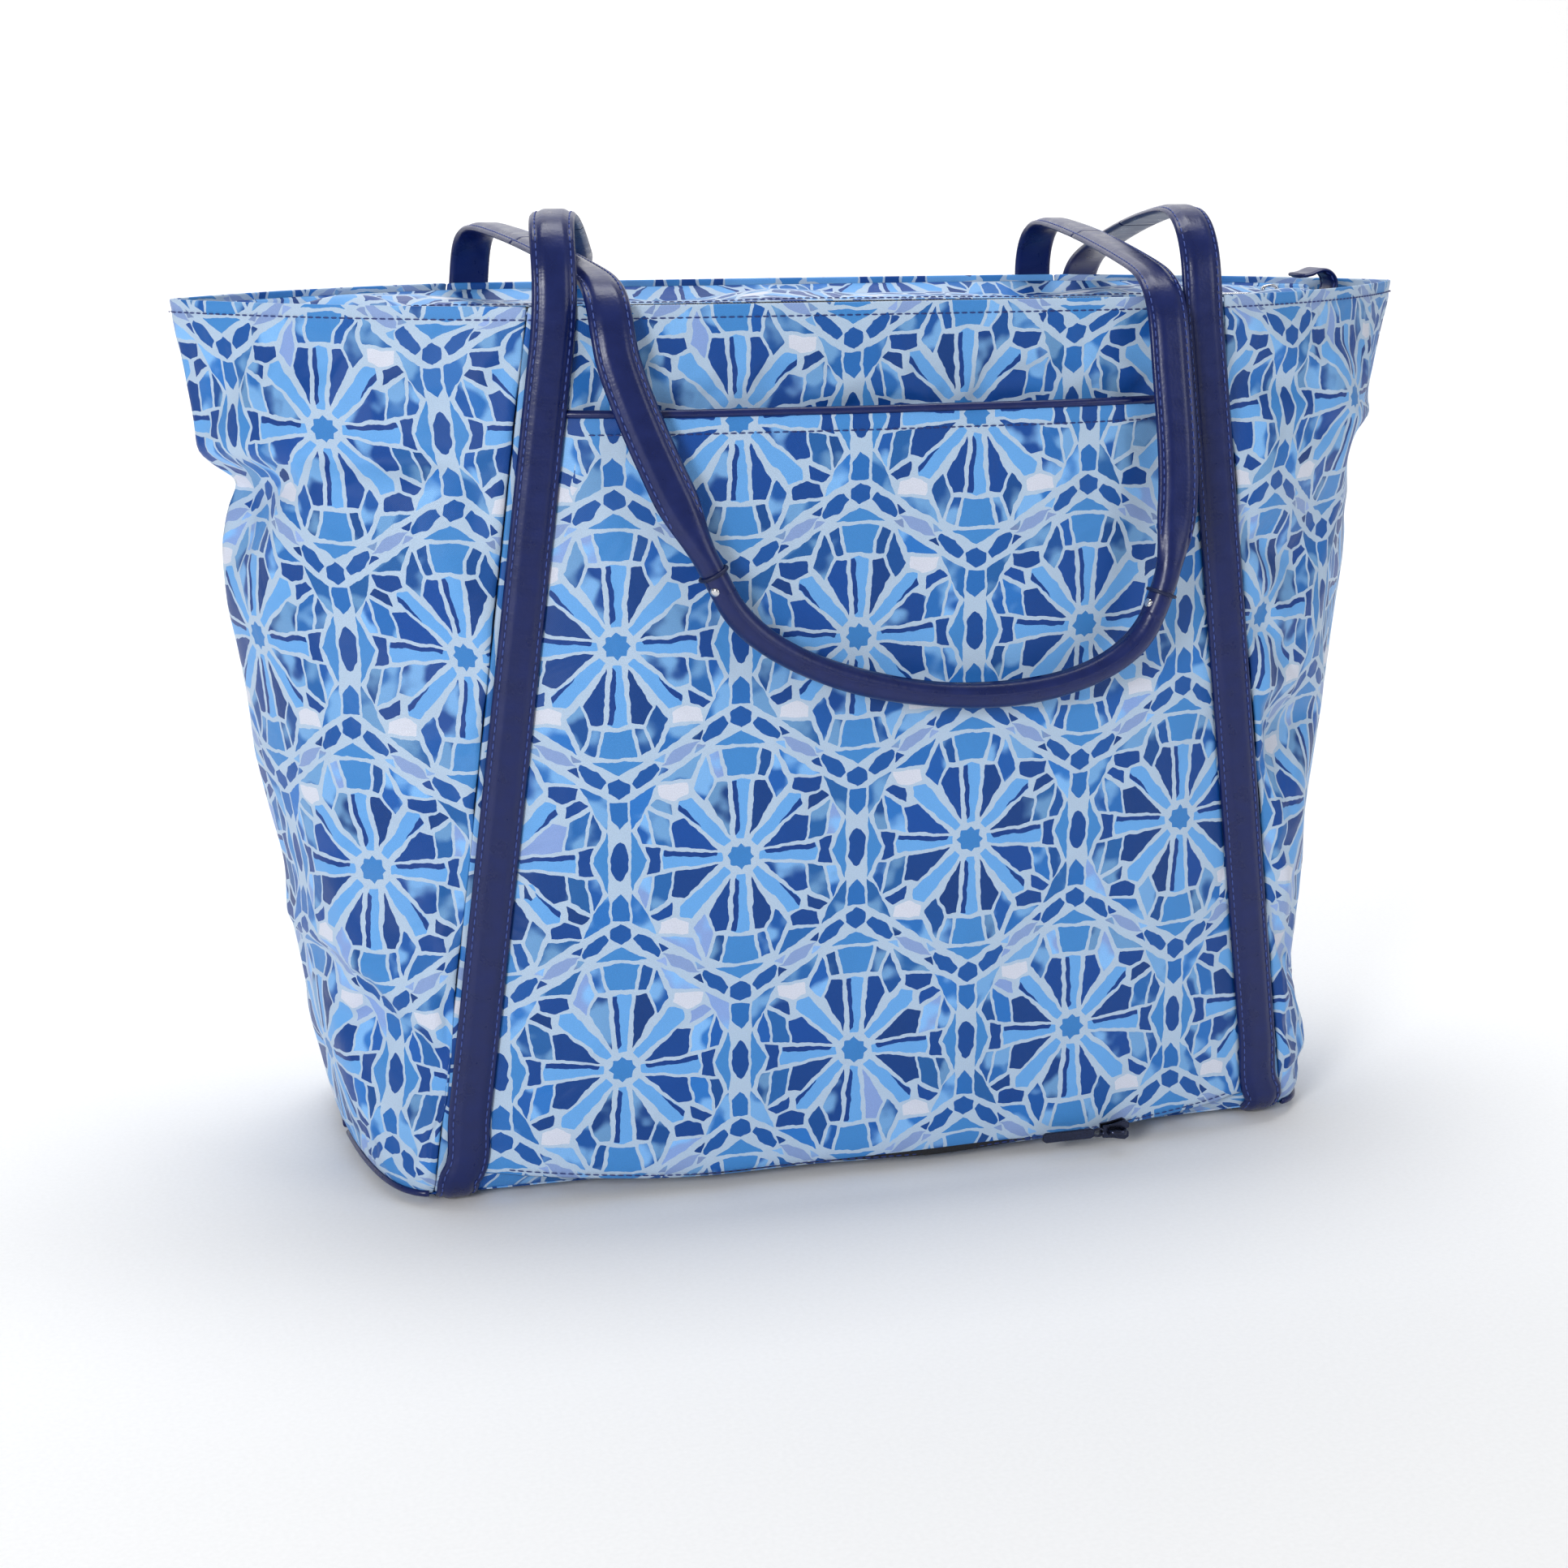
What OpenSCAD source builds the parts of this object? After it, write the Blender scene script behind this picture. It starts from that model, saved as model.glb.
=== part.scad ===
// Foldable travel tote: coated cloth body, leather straps with rolled grips, open zip top,
// and a sleeve on the back that slides over a suitcase handle. Back is -Y, front is +Y.

/* [Bag body] */
// Height of the top hem above the floor
bag_h = 330; // [270:1:400]
// Mouth width from pointed corner to pointed corner
mouth_w = 496; // [430:1:580]
// Width of the bag just above the floor
base_w = 392; // [340:1:420]
// Depth of the bag at the floor
base_d = 160; // [120:1:200]
// Depth of the mouth at the straps
mouth_d = 168; // [130:1:200]
// How far the middle of the front and back stands proud
belly = 5; // [0:0.5:10]
// Radius where the walls turn under to the base
foot_r = 14; // [8:1:20]
// Thickness of the coated cloth
cloth_t = 1.2; // [0.8:0.1:2]
// Thickness of the lining
lining_t = 0.8; // [0.5:0.1:1.2]

/* [Straps] */
// Width of the leather straps
strap_w = 16; // [12:0.5:22]
// Thickness of the folded leather
strap_t = 2.2; // [1.6:0.1:3]
// Distance between the two straps at the top hem
strap_span_top = 244; // [200:1:270]
// Distance between the two straps at the floor
strap_span_base = 328; // [270:1:335]
// How far each strap rises over its hem before it falls across the mouth
arch_rise = 23; // [18:1:36]
// How much higher the back handle crosses than the front handle
cross_step = 8; // [7.5:0.5:12]

/* [Grips] */
// Diameter of the rolled grips
grip_d = 10; // [8:0.5:13]
// Distance between the two rivets of one grip
grip_span = 170; // [140:1:190]
// Depth that a grip hangs below its rivets
grip_drop = 32; // [20:1:50]
// Drop from the hem to the lower rivet
rivet_drop = 112; // [90:1:130]
// Diameter of a rivet head
rivet_d = 4.4; // [3:0.2:7]
// Height of a rivet head
rivet_h = 1.4; // [1:0.1:2]

/* [Sleeve on the back] */
// Distance from the hem down to the top edge of the sleeve
sleeve_top = 36; // [25:1:80]
// Height of the lower edge of the sleeve above the floor
sleeve_low = 12; // [8:1:40]
// Room between the back and the middle of the sleeve
sleeve_gap = 12; // [8:0.5:22]
// Height of the leather binding along the top of the sleeve
binding_h = 3.2; // [2:0.2:6]

/* [Zips] */
// Half the gap between the parted top tapes at the middle
part_gap = 18; // [12:1:26]
// Level of the top zip below the hem
zip_sink = 6; // [5:0.5:20]
// Reach of the top zip from the middle of the mouth
zip_reach = 200; // [170:1:205]
// Width of one zip tape
tape_w = 9; // [7:0.5:12]
// Width of one row of teeth
teeth_w = 2.4; // [1.6:0.2:3.2]
// Height of the teeth
teeth_t = 2; // [1.4:0.2:2.6]
// Length of a zip slider
slider_l = 11; // [8:0.5:14]
// Width of a zip slider
slider_w = 8; // [7:0.5:10]
// Length of a zip pull
pull_l = 24; // [16:1:32]
// Width of a zip pull
pull_w = 4; // [3:0.5:6]
// Thickness of a zip pull
pull_t = 1.4; // [1:0.1:2]
// Place of the sleeve zip's slider from the middle
sleeve_slider_x = 92; // [60:1:100]

/* [Fits] */
// Clearance between pieces that lie on each other
clear = 0.4; // [0.3:0.05:0.6]

/* [Hidden] */

cloth_blue = [0.36, 0.55, 0.85];
navy = [0.13, 0.17, 0.40];
zip_black = [0.08, 0.08, 0.10];
steel = [0.78, 0.78, 0.80];

// share of the outline, each way from the middle, that the front or back panel takes
panel_share = 0.5;
// outline share where the side pieces stop, just short of the folded end
side_end = 0.994;
seam_share = 0.003;
seam_margin = 1.5;
base_z = strap_t + 0.3;
wall_z = base_z + cloth_t + clear;
zip_z = bag_h - zip_sink;
grip_r = grip_d / 2;

// half width of the strap line, the seam line and the folded end at height z
function rise(z) = z / bag_h;
function mix(a, b, k) = a + (b - a) * k;
function foot(z) = z >= foot_r ? 0 : foot_r - sqrt(foot_r * foot_r - (foot_r - z) * (foot_r - z));
function strap_x(z) = mix(strap_span_base, strap_span_top, rise(z)) / 2;
function seam_x(z) = strap_x(z) + strap_w / 2 + seam_margin;
function seam_y(z) = mix(base_d, mouth_d, rise(z)) / 2 - foot(z);
function end_x(z) = mix(base_w, mouth_w, rise(z)) / 2 - foot(z);
function bulge(z) = belly * (0.6 + 0.4 * sin(180 * rise(z)));

// the outline runs from -1, the left folded end, over 0, the middle, to 1, the right end
function side_turn(z) =
    let (k = pow(rise(z), 1.2), s = [seam_x(z), seam_y(z)], e = [end_x(z), 0],
        out = [s[1], e[0] - s[0]], n = out / norm(out))
    mix([e[0] - 3, s[1] - 1], (s + e) / 2 + n * 20, k);
function outline(u, z) =
    let (a = abs(u), sgn = u < 0 ? -1 : 1)
    a <= panel_share
        ? [seam_x(z) * u / panel_share,
           seam_y(z) + bulge(z) * (1 - pow(u / panel_share, 2))]
        : let (t = (a - panel_share) / (1 - panel_share), s = [seam_x(z), seam_y(z)],
               c = side_turn(z), e = [end_x(z), 0],
               p = (1 - t) * (1 - t) * s + 2 * t * (1 - t) * c + t * t * e)
          [sgn * p[0], p[1]];
function outward(u, z) =
    let (a = outline(u - 0.004, z), b = outline(u + 0.004, z), d = b - a, n = [-d[1], d[0]])
    n / norm(n);
// a point of the front wall, moved outward by off
function wall(u, z, off) =
    let (p = outline(u, z) + outward(u, z) * off) [p[0], p[1], z];
// outline share at which the front or back wall reaches the place x
function share_at(x, z) = panel_share * x / seam_x(z);
// distance of the wall from the middle plane at the place x
function wall_y(x, z) = outline(share_at(x, z), z)[1];

// heights from z0 to z1, closer together where the wall turns under
function row_levels(z0, z1, n) = z0 < foot_r && z1 > foot_r
    ? concat([for (i = [0:3]) mix(z0, foot_r, i / 4)], [for (i = [0:n]) mix(foot_r, z1, i / n)])
    : [for (i = [0:n]) mix(z0, z1, i / n)];

// a closed slab between two equal grids of points, outer and inner, given as lists of rows
module slab(outer, inner) {
    rows = len(outer);
    cols = len(outer[0]);
    count = rows * cols;
    function at(r, c) = r * cols + c;
    points = concat([for (r = outer) each r], [for (r = inner) each r]);
    skin = [for (r = [0:rows - 2], c = [0:cols - 2]) each [
        [at(r, c), at(r + 1, c), at(r + 1, c + 1)],
        [at(r, c), at(r + 1, c + 1), at(r, c + 1)],
        [count + at(r, c), count + at(r + 1, c + 1), count + at(r + 1, c)],
        [count + at(r, c), count + at(r, c + 1), count + at(r + 1, c + 1)]]];
    ends = [for (c = [0:cols - 2]) each [
        [at(0, c), at(0, c + 1), count + at(0, c + 1)],
        [at(0, c), count + at(0, c + 1), count + at(0, c)],
        [at(rows - 1, c), count + at(rows - 1, c + 1), at(rows - 1, c + 1)],
        [at(rows - 1, c), count + at(rows - 1, c), count + at(rows - 1, c + 1)]]];
    sides = [for (r = [0:rows - 2]) each [
        [at(r, 0), count + at(r + 1, 0), at(r + 1, 0)],
        [at(r, 0), count + at(r, 0), count + at(r + 1, 0)],
        [at(r, cols - 1), at(r + 1, cols - 1), count + at(r + 1, cols - 1)],
        [at(r, cols - 1), count + at(r + 1, cols - 1), count + at(r, cols - 1)]]];
    polyhedron(points, concat(skin, ends, sides));
}

// a piece of wall cloth between outline shares u0 and u1, from height z0 to z1
module wall_cloth(u0, u1, z0, z1, off, thick, across, up) {
    levels = row_levels(z0, z1, up);
    outer = [for (z = levels) [for (i = [0:across]) wall(mix(u0, u1, i / across), z, off)]];
    inner = [for (z = levels) [for (i = [0:across])
        wall(mix(u0, u1, i / across), z, off - thick)]];
    slab(outer, inner);
}

module on_back() {
    mirror([0, 1, 0]) children();
}

// a flat band of leather or tape along a path, its width near the X direction
module band(path, width, thick) {
    last = len(path) - 1;
    function along(i) = let (d = path[min(i + 1, last)] - path[max(i - 1, 0)]) d / norm(d);
    function across(i) =
        let (t = along(i), v = [1, 0, 0] - t[0] * t) v / norm(v) * width / 2;
    function proud(i) = let (v = cross(along(i), across(i))) v / norm(v) * thick / 2;
    outer = [for (i = [0:last]) [path[i] - across(i) + proud(i), path[i] + across(i) + proud(i)]];
    inner = [for (i = [0:last]) [path[i] - across(i) - proud(i), path[i] + across(i) - proud(i)]];
    slab(outer, inner);
}

// a round bar along a path that stays in one upright plane
module roll(path, radius, sides) {
    last = len(path) - 1;
    function along(i) = let (d = path[min(i + 1, last)] - path[max(i - 1, 0)]) d / norm(d);
    ring = [for (i = [0:last]) let (t = along(i), s = cross(t, [0, 1, 0]))
        [for (k = [0:sides - 1]) path[i] + radius * (cos(360 * k / sides) * s
            + sin(360 * k / sides) * [0, 1, 0])]];
    points = [for (r = ring) each r];
    walls = [for (i = [0:last - 1], k = [0:sides - 1]) let (n = (k + 1) % sides) each [
        [i * sides + k, i * sides + n, (i + 1) * sides + n],
        [i * sides + k, (i + 1) * sides + n, (i + 1) * sides + k]]];
    caps = [[for (k = [sides - 1:-1:0]) k], [for (k = [0:sides - 1]) last * sides + k]];
    polyhedron(points, concat(walls, caps));
}

// ---- cloth body ----

module centre_panel() {
    color(cloth_blue)
        wall_cloth(-panel_share + seam_share, panel_share - seam_share,
            wall_z, bag_h, 0, cloth_t, 12, 7);
}

module side_piece(right) {
    color(cloth_blue)
        mirror([right ? 0 : 1, 0, 0])
            wall_cloth(panel_share + seam_share, side_end, wall_z, bag_h, 0, cloth_t, 8, 7);
}

module base_panel() {
    half = [for (i = [0:24]) let (p = outline(mix(-side_end, side_end, i / 24), wall_z)) p];
    color(cloth_blue)
        translate([0, 0, base_z])
            linear_extrude(cloth_t)
                polygon(concat(half, [for (i = [24:-1:0]) [half[i][0], -half[i][1]]]));
}

module base_strap(side) {
    x = strap_x(0);
    run = base_d - 2 * foot_r;
    color(navy)
        translate([side * x - strap_w / 2, -run / 2, 0])
            cube([strap_w, run, strap_t]);
}

lining_top = zip_z - 26;
// room between the wall and the lining, which hangs free inside it
lining_room = cloth_t + 2;
function lining_ring(z, room, n) =
    let (kx = (end_x(z) - room) / end_x(z), ky = (seam_y(z) - room) / seam_y(z),
        half = [for (i = [0:n]) let (p = outline(mix(-1, 1, i / n), z)) [p[0] * kx, p[1] * ky]])
    concat(half, [for (i = [n - 1:-1:1]) [half[i][0], -half[i][1]]]);

module lining() {
    levels = row_levels(wall_z + 4, lining_top, 5);
    n = 16;
    outer = [for (z = levels) [for (p = lining_ring(z, lining_room, n)) [p[0], p[1], z]]];
    inner = [for (z = levels) [for (p = lining_ring(z, lining_room + lining_t, n)) [p[0], p[1], z]]];
    turns = len(outer[0]);
    rows = len(levels);
    count = rows * turns;
    function at(r, c) = r * turns + c % turns;
    points = concat([for (r = outer) each r], [for (r = inner) each r]);
    skin = [for (r = [0:rows - 2], c = [0:turns - 1]) each [
        [at(r, c), at(r, c + 1), at(r + 1, c + 1)],
        [at(r, c), at(r + 1, c + 1), at(r + 1, c)],
        [count + at(r, c), count + at(r + 1, c + 1), count + at(r, c + 1)],
        [count + at(r, c), count + at(r + 1, c), count + at(r + 1, c + 1)]]];
    rims = [for (c = [0:turns - 1]) each [
        [at(0, c), count + at(0, c + 1), at(0, c + 1)],
        [at(0, c), count + at(0, c), count + at(0, c + 1)],
        [at(rows - 1, c), at(rows - 1, c + 1), count + at(rows - 1, c + 1)],
        [at(rows - 1, c), count + at(rows - 1, c + 1), count + at(rows - 1, c)]]];
    floor_ring = lining_ring(wall_z + 4, lining_room, n);
    color(navy) {
        polyhedron(points, concat(skin, rims));
        translate([0, 0, wall_z + 4 - clear - lining_t])
            linear_extrude(lining_t)
                polygon(floor_ring);
    }
}

// ---- facings and top zip ----

// half the gap between the two rows of teeth at the place x
function tooth_gap(x) = clear + part_gap * pow(max(0, 1 - pow(x / zip_reach, 2)), 0.8);
facing_share = 0.86;
facing_drop = 3;

module facing() {
    n = 20;
    function rim(i, down) =
        let (u = mix(-facing_share, facing_share, i / n), p = wall(u, bag_h - facing_drop, -cloth_t - clear))
        [p[0], p[1], p[2] - down];
    function zip_side(i, down) =
        let (x = mix(-zip_reach, zip_reach, i / n))
        [x, tooth_gap(x) + teeth_w + tape_w + 2 * clear, zip_z - down];
    function middle(i, down) =
        let (a = rim(i, down), b = zip_side(i, down)) (a + b) / 2 - [0, 0, 2];
    color(cloth_blue)
        slab([for (i = [0:n]) [rim(i, 0), middle(i, 0), zip_side(i, 0)]],
            [for (i = [0:n]) [rim(i, cloth_t), middle(i, cloth_t), zip_side(i, cloth_t)]]);
}

module zip_strip(inner_edge, width, low, high) {
    n = 20;
    function edge(i, y, z) =
        let (x = mix(-zip_reach, zip_reach, i / n)) [x, tooth_gap(x) + y, z];
    slab([for (i = [0:n]) [edge(i, inner_edge + width, high), edge(i, inner_edge, high)]],
        [for (i = [0:n]) [edge(i, inner_edge + width, low), edge(i, inner_edge, low)]]);
}

module top_tape() {
    color(zip_black)
        zip_strip(teeth_w + clear, tape_w, zip_z - cloth_t, zip_z - cloth_t / 3);
}

module top_teeth() {
    color(zip_black)
        zip_strip(0, teeth_w, zip_z - teeth_t, zip_z);
}

// the tail is a leather tab that runs on from the tapes and curls back over itself
tail_run = 13;
tail_w = 15;
tail_t = 1.8;
curl_r = 7;
module zip_tail() {
    start = zip_reach + clear;
    curl_z = zip_z - tail_t + curl_r - 0.6;
    color(navy)
        translate([0, tail_w / 2, 0])
            rotate([90, 0, 0])
                linear_extrude(tail_w) {
                    translate([start, curl_z - curl_r])
                        square([tail_run + 0.01, tail_t]);
                    translate([start + tail_run, curl_z])
                        intersection() {
                            difference() {
                                circle(r = curl_r, $fn = 48);
                                circle(r = curl_r - tail_t, $fn = 48);
                            }
                            translate([0, -curl_r])
                                square([curl_r, 2 * curl_r]);
                        }
                    translate([start + tail_run - 8, curl_z + curl_r - tail_t])
                        square([8.01, tail_t]);
                }
}

slider_rest_x = zip_reach - slider_l / 2 - 2;
slider_z = zip_z + clear;
module slider_shape() {
    translate([-slider_l / 2, -slider_w / 2, 0])
        cube([slider_l, slider_w, 1.2]);
    translate([-slider_l / 2 + 1, -1.2, 1.2])
        difference() {
            cube([slider_l - 2, 2.4, 3.4]);
            translate([1.5, -1, -0.01])
                cube([slider_l - 5, 5, 2.1]);
        }
}

module zip_slider() {
    color(steel)
        translate([slider_rest_x, 0, slider_z])
            slider_shape();
}

// the pull turns on a round barrel just ahead of the slider, and lies flat along -X
module pull_shape() {
    rotate([90, 0, 0])
        cylinder(h = pull_w, r = pull_t / 2, center = true, $fn = 48);
    translate([-pull_l, -pull_w / 2, -pull_t / 2])
        cube([pull_l, pull_w, pull_t]);
}

pull_x = slider_rest_x - slider_l / 2 - clear - pull_t / 2;
module zip_pull() {
    color(steel)
        translate([pull_x, 0, slider_z + pull_t / 2])
            pull_shape();
}

// ---- sleeve on the back ----

sleeve_margin = 1;
function sleeve_half(z) = strap_x(z) - strap_w / 2 - sleeve_margin;
// the sleeve leaves the straps, stands off, and runs flat over the middle
function sleeve_lift(z) = sleeve_gap + bulge(z) * 0.8;
function sleeve_y(x, z, extra) =
    wall_y(sleeve_half(z), z) + clear + extra
        + sleeve_lift(z) * pow(max(0, 1 - pow(x / sleeve_half(z), 4)), 0.5);
sleeve_z1 = bag_h - sleeve_top;

module sleeve_cloth(z0, z1, inner, thick, up) {
    levels = row_levels(z0, z1, up);
    n = 16;
    // stations close up towards the sewn edges, where the cloth turns
    function line(z, extra) = [for (i = [0:n]) let (x = -sleeve_half(z) * cos(180 * i / n))
        [x, sleeve_y(x, z, extra), z]];
    slab([for (z = levels) line(z, inner + thick)], [for (z = levels) line(z, inner)]);
}

module sleeve() {
    color(cloth_blue)
        on_back()
            sleeve_cloth(sleeve_low, sleeve_z1 - binding_h - clear / 2, 0, cloth_t, 7);
}

module sleeve_binding() {
    color(navy)
        on_back()
            sleeve_cloth(sleeve_z1 - binding_h, sleeve_z1, 0, cloth_t + 0.8, 1);
}

sleeve_zip_z = sleeve_low - clear;
zip_tape_t = cloth_t * 0.7;
zip_line_z = sleeve_zip_z - 2.5;
module sleeve_zip_tape() {
    color(zip_black)
        on_back()
            sleeve_cloth(sleeve_zip_z - 5, sleeve_zip_z, 0, zip_tape_t, 1);
}

module sleeve_zip_teeth() {
    n = 16;
    half = sleeve_slider_x + slider_l;
    function edge(i, out, z) =
        let (x = mix(-half, half, i / n))
        [x, sleeve_y(x, sleeve_zip_z, zip_tape_t + clear / 2) + out, z];
    function row(i, out) =
        [edge(i, out, zip_line_z - teeth_w / 2), edge(i, out, zip_line_z + teeth_w / 2)];
    color(zip_black)
        on_back()
            slab([for (i = [0:n]) row(i, teeth_t / 2)], [for (i = [0:n]) row(i, 0)]);
}

sleeve_slider_y = sleeve_y(0, sleeve_zip_z, zip_tape_t + clear / 2) + teeth_t / 2 + clear;
module sleeve_zip_slider() {
    color(steel)
        translate([sleeve_slider_x, -sleeve_slider_y, zip_line_z])
            rotate([90, 0, 0])
                slider_shape();
}

module sleeve_zip_pull() {
    color(steel)
        translate([sleeve_slider_x - slider_l / 2 - clear - pull_t / 2,
            -sleeve_slider_y - pull_t / 2, zip_line_z])
            rotate([90, 0, 0])
                pull_shape();
}

// ---- straps, handles and grips ----

strap_off = clear + strap_t / 2;
hem_end = bag_h + 8;
// middle of the strap where it lies on the wall, which is proudest under the strap's inner edge
function strap_seat(z) = wall_y(strap_x(z) - strap_w / 2, z) + strap_off;
mouth_y = strap_seat(bag_h);
function stitched(side) = [for (z = row_levels(foot_r * 0.35, bag_h, 7))
    [side * strap_x(z), strap_seat(z) + 0.25 * foot(z), z]];

module stitched_strap(side) {
    color(navy)
        band(concat(stitched(side), [[side * strap_x(bag_h), mouth_y, hem_end]]),
            strap_w, strap_t);
}

// a handle leaves its own hem at x0, crosses the mouth to the far hem at x1, turns down over it
// and hangs there; here it starts at the front (+Y) hem and hangs at the back
arch_run = 22;
end_gap = 0.3;
far_reach = 9;
turn_r = 12;
slant_from = 8;
function arch_z(rise_by, a) = hem_end + end_gap + (bag_h + rise_by - hem_end) * sin(a);
function cross_path(x0, x1, rise_by) =
    let (start_y = mouth_y, far_y = -mouth_y + turn_r - far_reach,
        top_z = arch_z(rise_by, 90), fall = top_z - hem_end,
        bend = [for (a = [0:18:90]) [start_y - arch_run * (1 - cos(a)), arch_z(rise_by, a)]],
        down = [for (i = [1:9]) [mix(start_y - arch_run, far_y, i / 9),
            top_z - fall * pow(i / 9, 1.5)]],
        over = [for (a = [22.5:22.5:90]) [far_y - turn_r * sin(a), hem_end - turn_r * (1 - cos(a))]],
        yz = concat(bend, down, over))
    [for (p = yz) [mix(x0, x1, max(0, min(1, (start_y - slant_from - p[0])
        / (start_y - slant_from - far_y)))), p[0], p[1]]];

// from the turn the strap hangs straight down to its rivet
hang_top_z = hem_end - turn_r;
lean_power = 1.3;
straight_share = 0.06;
leg_gap = 0.8;
function lean_at(k) = pow(max(0, k - straight_share) / (1 - straight_share), lean_power);
function hang_path(x1, rivet, hang_y) =
    [for (k = [0, 0.06, 0.15, 0.3, 0.45, 0.6, 0.8, 1]) [mix(x1, rivet[0], lean_at(k)),
        mix(-mouth_y - far_reach, -hang_y, sin(90 * k)),
        mix(hang_top_z - leg_gap, rivet[1], k)]];
// direction in which a leg reaches its rivet, seen from the front
function leg_way(x1, rivet) =
    let (d = [lean_power / (1 - straight_share) * (rivet[0] - x1), rivet[1] - hang_top_z])
    d / norm(d);

// the grip carries on from both legs and sags between them
grip_pull = 1.36;
function grip_path(rivets, ends, hang_y, drop) =
    let (a = rivets[0], b = rivets[1], p1 = a + leg_way(ends[0], a) * drop * grip_pull,
        p2 = b + leg_way(ends[1], b) * drop * grip_pull)
    [for (i = [0:18]) let (t = i / 18, s = 1 - t,
        p = s * s * s * a + 3 * s * s * t * p1 + 3 * s * t * t * p2 + t * t * t * b)
        [p[0], -hang_y, p[1]]];

hang_y = sleeve_y(0, bag_h - rivet_drop, cloth_t) + grip_r + 2;
low_rivet_z = bag_h - rivet_drop - 8;
high_rivet_z = bag_h - rivet_drop + 11;
end_slot = 1.3;

// [place at its own hem, place at the far hem, rivet] for the left and right leg of each handle
front_cross = [-strap_x(bag_h) + strap_w + 1.4, strap_x(bag_h) - strap_w - 1.4];
back_cross = [-strap_x(bag_h) + 1.7 * strap_w + 15.8, strap_x(bag_h) + 25];
front_rivet = [[19 - grip_span / 2, high_rivet_z], [19 + grip_span / 2, low_rivet_z]];
back_rivet = [[34 - grip_span / 2, high_rivet_z], [34 + grip_span / 2, high_rivet_z - 6]];

module bridge(side, far_x, rise_by) {
    color(navy)
        band(cross_path(side * strap_x(bag_h), far_x, rise_by), strap_w, strap_t);
}

module leg(far_x, rivet) {
    way = leg_way(far_x, rivet);
    color(navy)
        band(hang_path(far_x, rivet - way * end_slot, hang_y), strap_w, strap_t);
}

module grip(rivets, ends) {
    color(navy)
        roll(grip_path(rivets, ends, hang_y, grip_drop), grip_r, 12);
}

module rivet_pair(place, turn) {
    for (s = [-1, 1])
        translate([place[0], place[1], place[2]])
            rotate([0, turn, 0])
                translate([0, 0, s * (grip_r + clear * 1.2) - (s < 0 ? rivet_h : 0)])
                    cylinder(h = rivet_h, d = rivet_d, $fn = 48);
}

module rivets(rivets, ends) {
    path = grip_path(rivets, ends, hang_y, grip_drop);
    last = len(path) - 1;
    for (i = [1, last - 1]) {
        d = path[i + 1] - path[i - 1];
        color(steel)
            rivet_pair(path[i], atan2(d[0], d[2]) + 90);
    }
}

on_back() centre_panel();  // back_panel
centre_panel();  // front_panel
on_back() side_piece(false);  // side_back_left
on_back() side_piece(true);  // side_back_right
side_piece(false);  // side_front_left
side_piece(true);  // side_front_right
base_panel();
base_strap(-1);  // base_strap_left
base_strap(1);  // base_strap_right
lining();
on_back() facing();  // facing_back
facing();  // facing_front
on_back() top_tape();  // zip_tape_back
top_tape();  // zip_tape_front
on_back() top_teeth();  // zip_teeth_back
top_teeth();  // zip_teeth_front
zip_tail();
zip_slider();
zip_pull();
sleeve();
sleeve_binding();
sleeve_zip_tape();
sleeve_zip_teeth();
sleeve_zip_slider();
sleeve_zip_pull();
on_back() stitched_strap(-1);  // strap_back_left
on_back() stitched_strap(1);  // strap_back_right
stitched_strap(-1);  // strap_front_left
stitched_strap(1);  // strap_front_right
on_back() bridge(-1, back_cross[0], arch_rise + cross_step);  // back_bridge_left
on_back() bridge(1, back_cross[1], arch_rise + cross_step);  // back_bridge_right
on_back() leg(back_cross[0], back_rivet[0]);  // back_leg_left
on_back() leg(back_cross[1], back_rivet[1]);  // back_leg_right
on_back() grip(back_rivet, back_cross);  // back_grip
on_back() rivets(back_rivet, back_cross);  // back_rivets
bridge(-1, front_cross[0], arch_rise);  // front_bridge_left
bridge(1, front_cross[1], arch_rise);  // front_bridge_right
leg(front_cross[0], front_rivet[0]);  // front_leg_left
leg(front_cross[1], front_rivet[1]);  // front_leg_right
grip(front_rivet, front_cross);  // front_grip
rivets(front_rivet, front_cross);  // front_rivets
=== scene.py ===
"""Foldable tote bag: cloth shell, facings, zips, sleeve, leather straps and rolled grips."""

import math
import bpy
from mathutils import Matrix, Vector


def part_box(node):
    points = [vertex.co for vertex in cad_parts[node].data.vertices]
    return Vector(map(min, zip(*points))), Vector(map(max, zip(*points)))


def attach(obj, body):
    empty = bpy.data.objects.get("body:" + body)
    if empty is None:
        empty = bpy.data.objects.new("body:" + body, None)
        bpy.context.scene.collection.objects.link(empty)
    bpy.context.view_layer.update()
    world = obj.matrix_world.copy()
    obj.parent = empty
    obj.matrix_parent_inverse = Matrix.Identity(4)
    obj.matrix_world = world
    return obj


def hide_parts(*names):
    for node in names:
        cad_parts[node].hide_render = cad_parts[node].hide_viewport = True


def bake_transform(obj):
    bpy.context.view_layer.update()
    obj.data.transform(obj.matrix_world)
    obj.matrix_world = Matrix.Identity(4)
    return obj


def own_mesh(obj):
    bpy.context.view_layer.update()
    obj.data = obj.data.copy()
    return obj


bl_info = {
    "name": "Foldable Tote",
    "version": (1, 0, 0),
    "blender": (4, 5, 0),
    "location": "3D View > Sidebar > Tote",
    "description": "Builds a foldable travel tote piece by piece around its CAD frame",
    "category": "Object",
}

import bmesh
import bpy
import numpy as np
from bpy.props import FloatProperty, IntProperty, PointerProperty
from mathutils import Matrix, Vector

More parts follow.
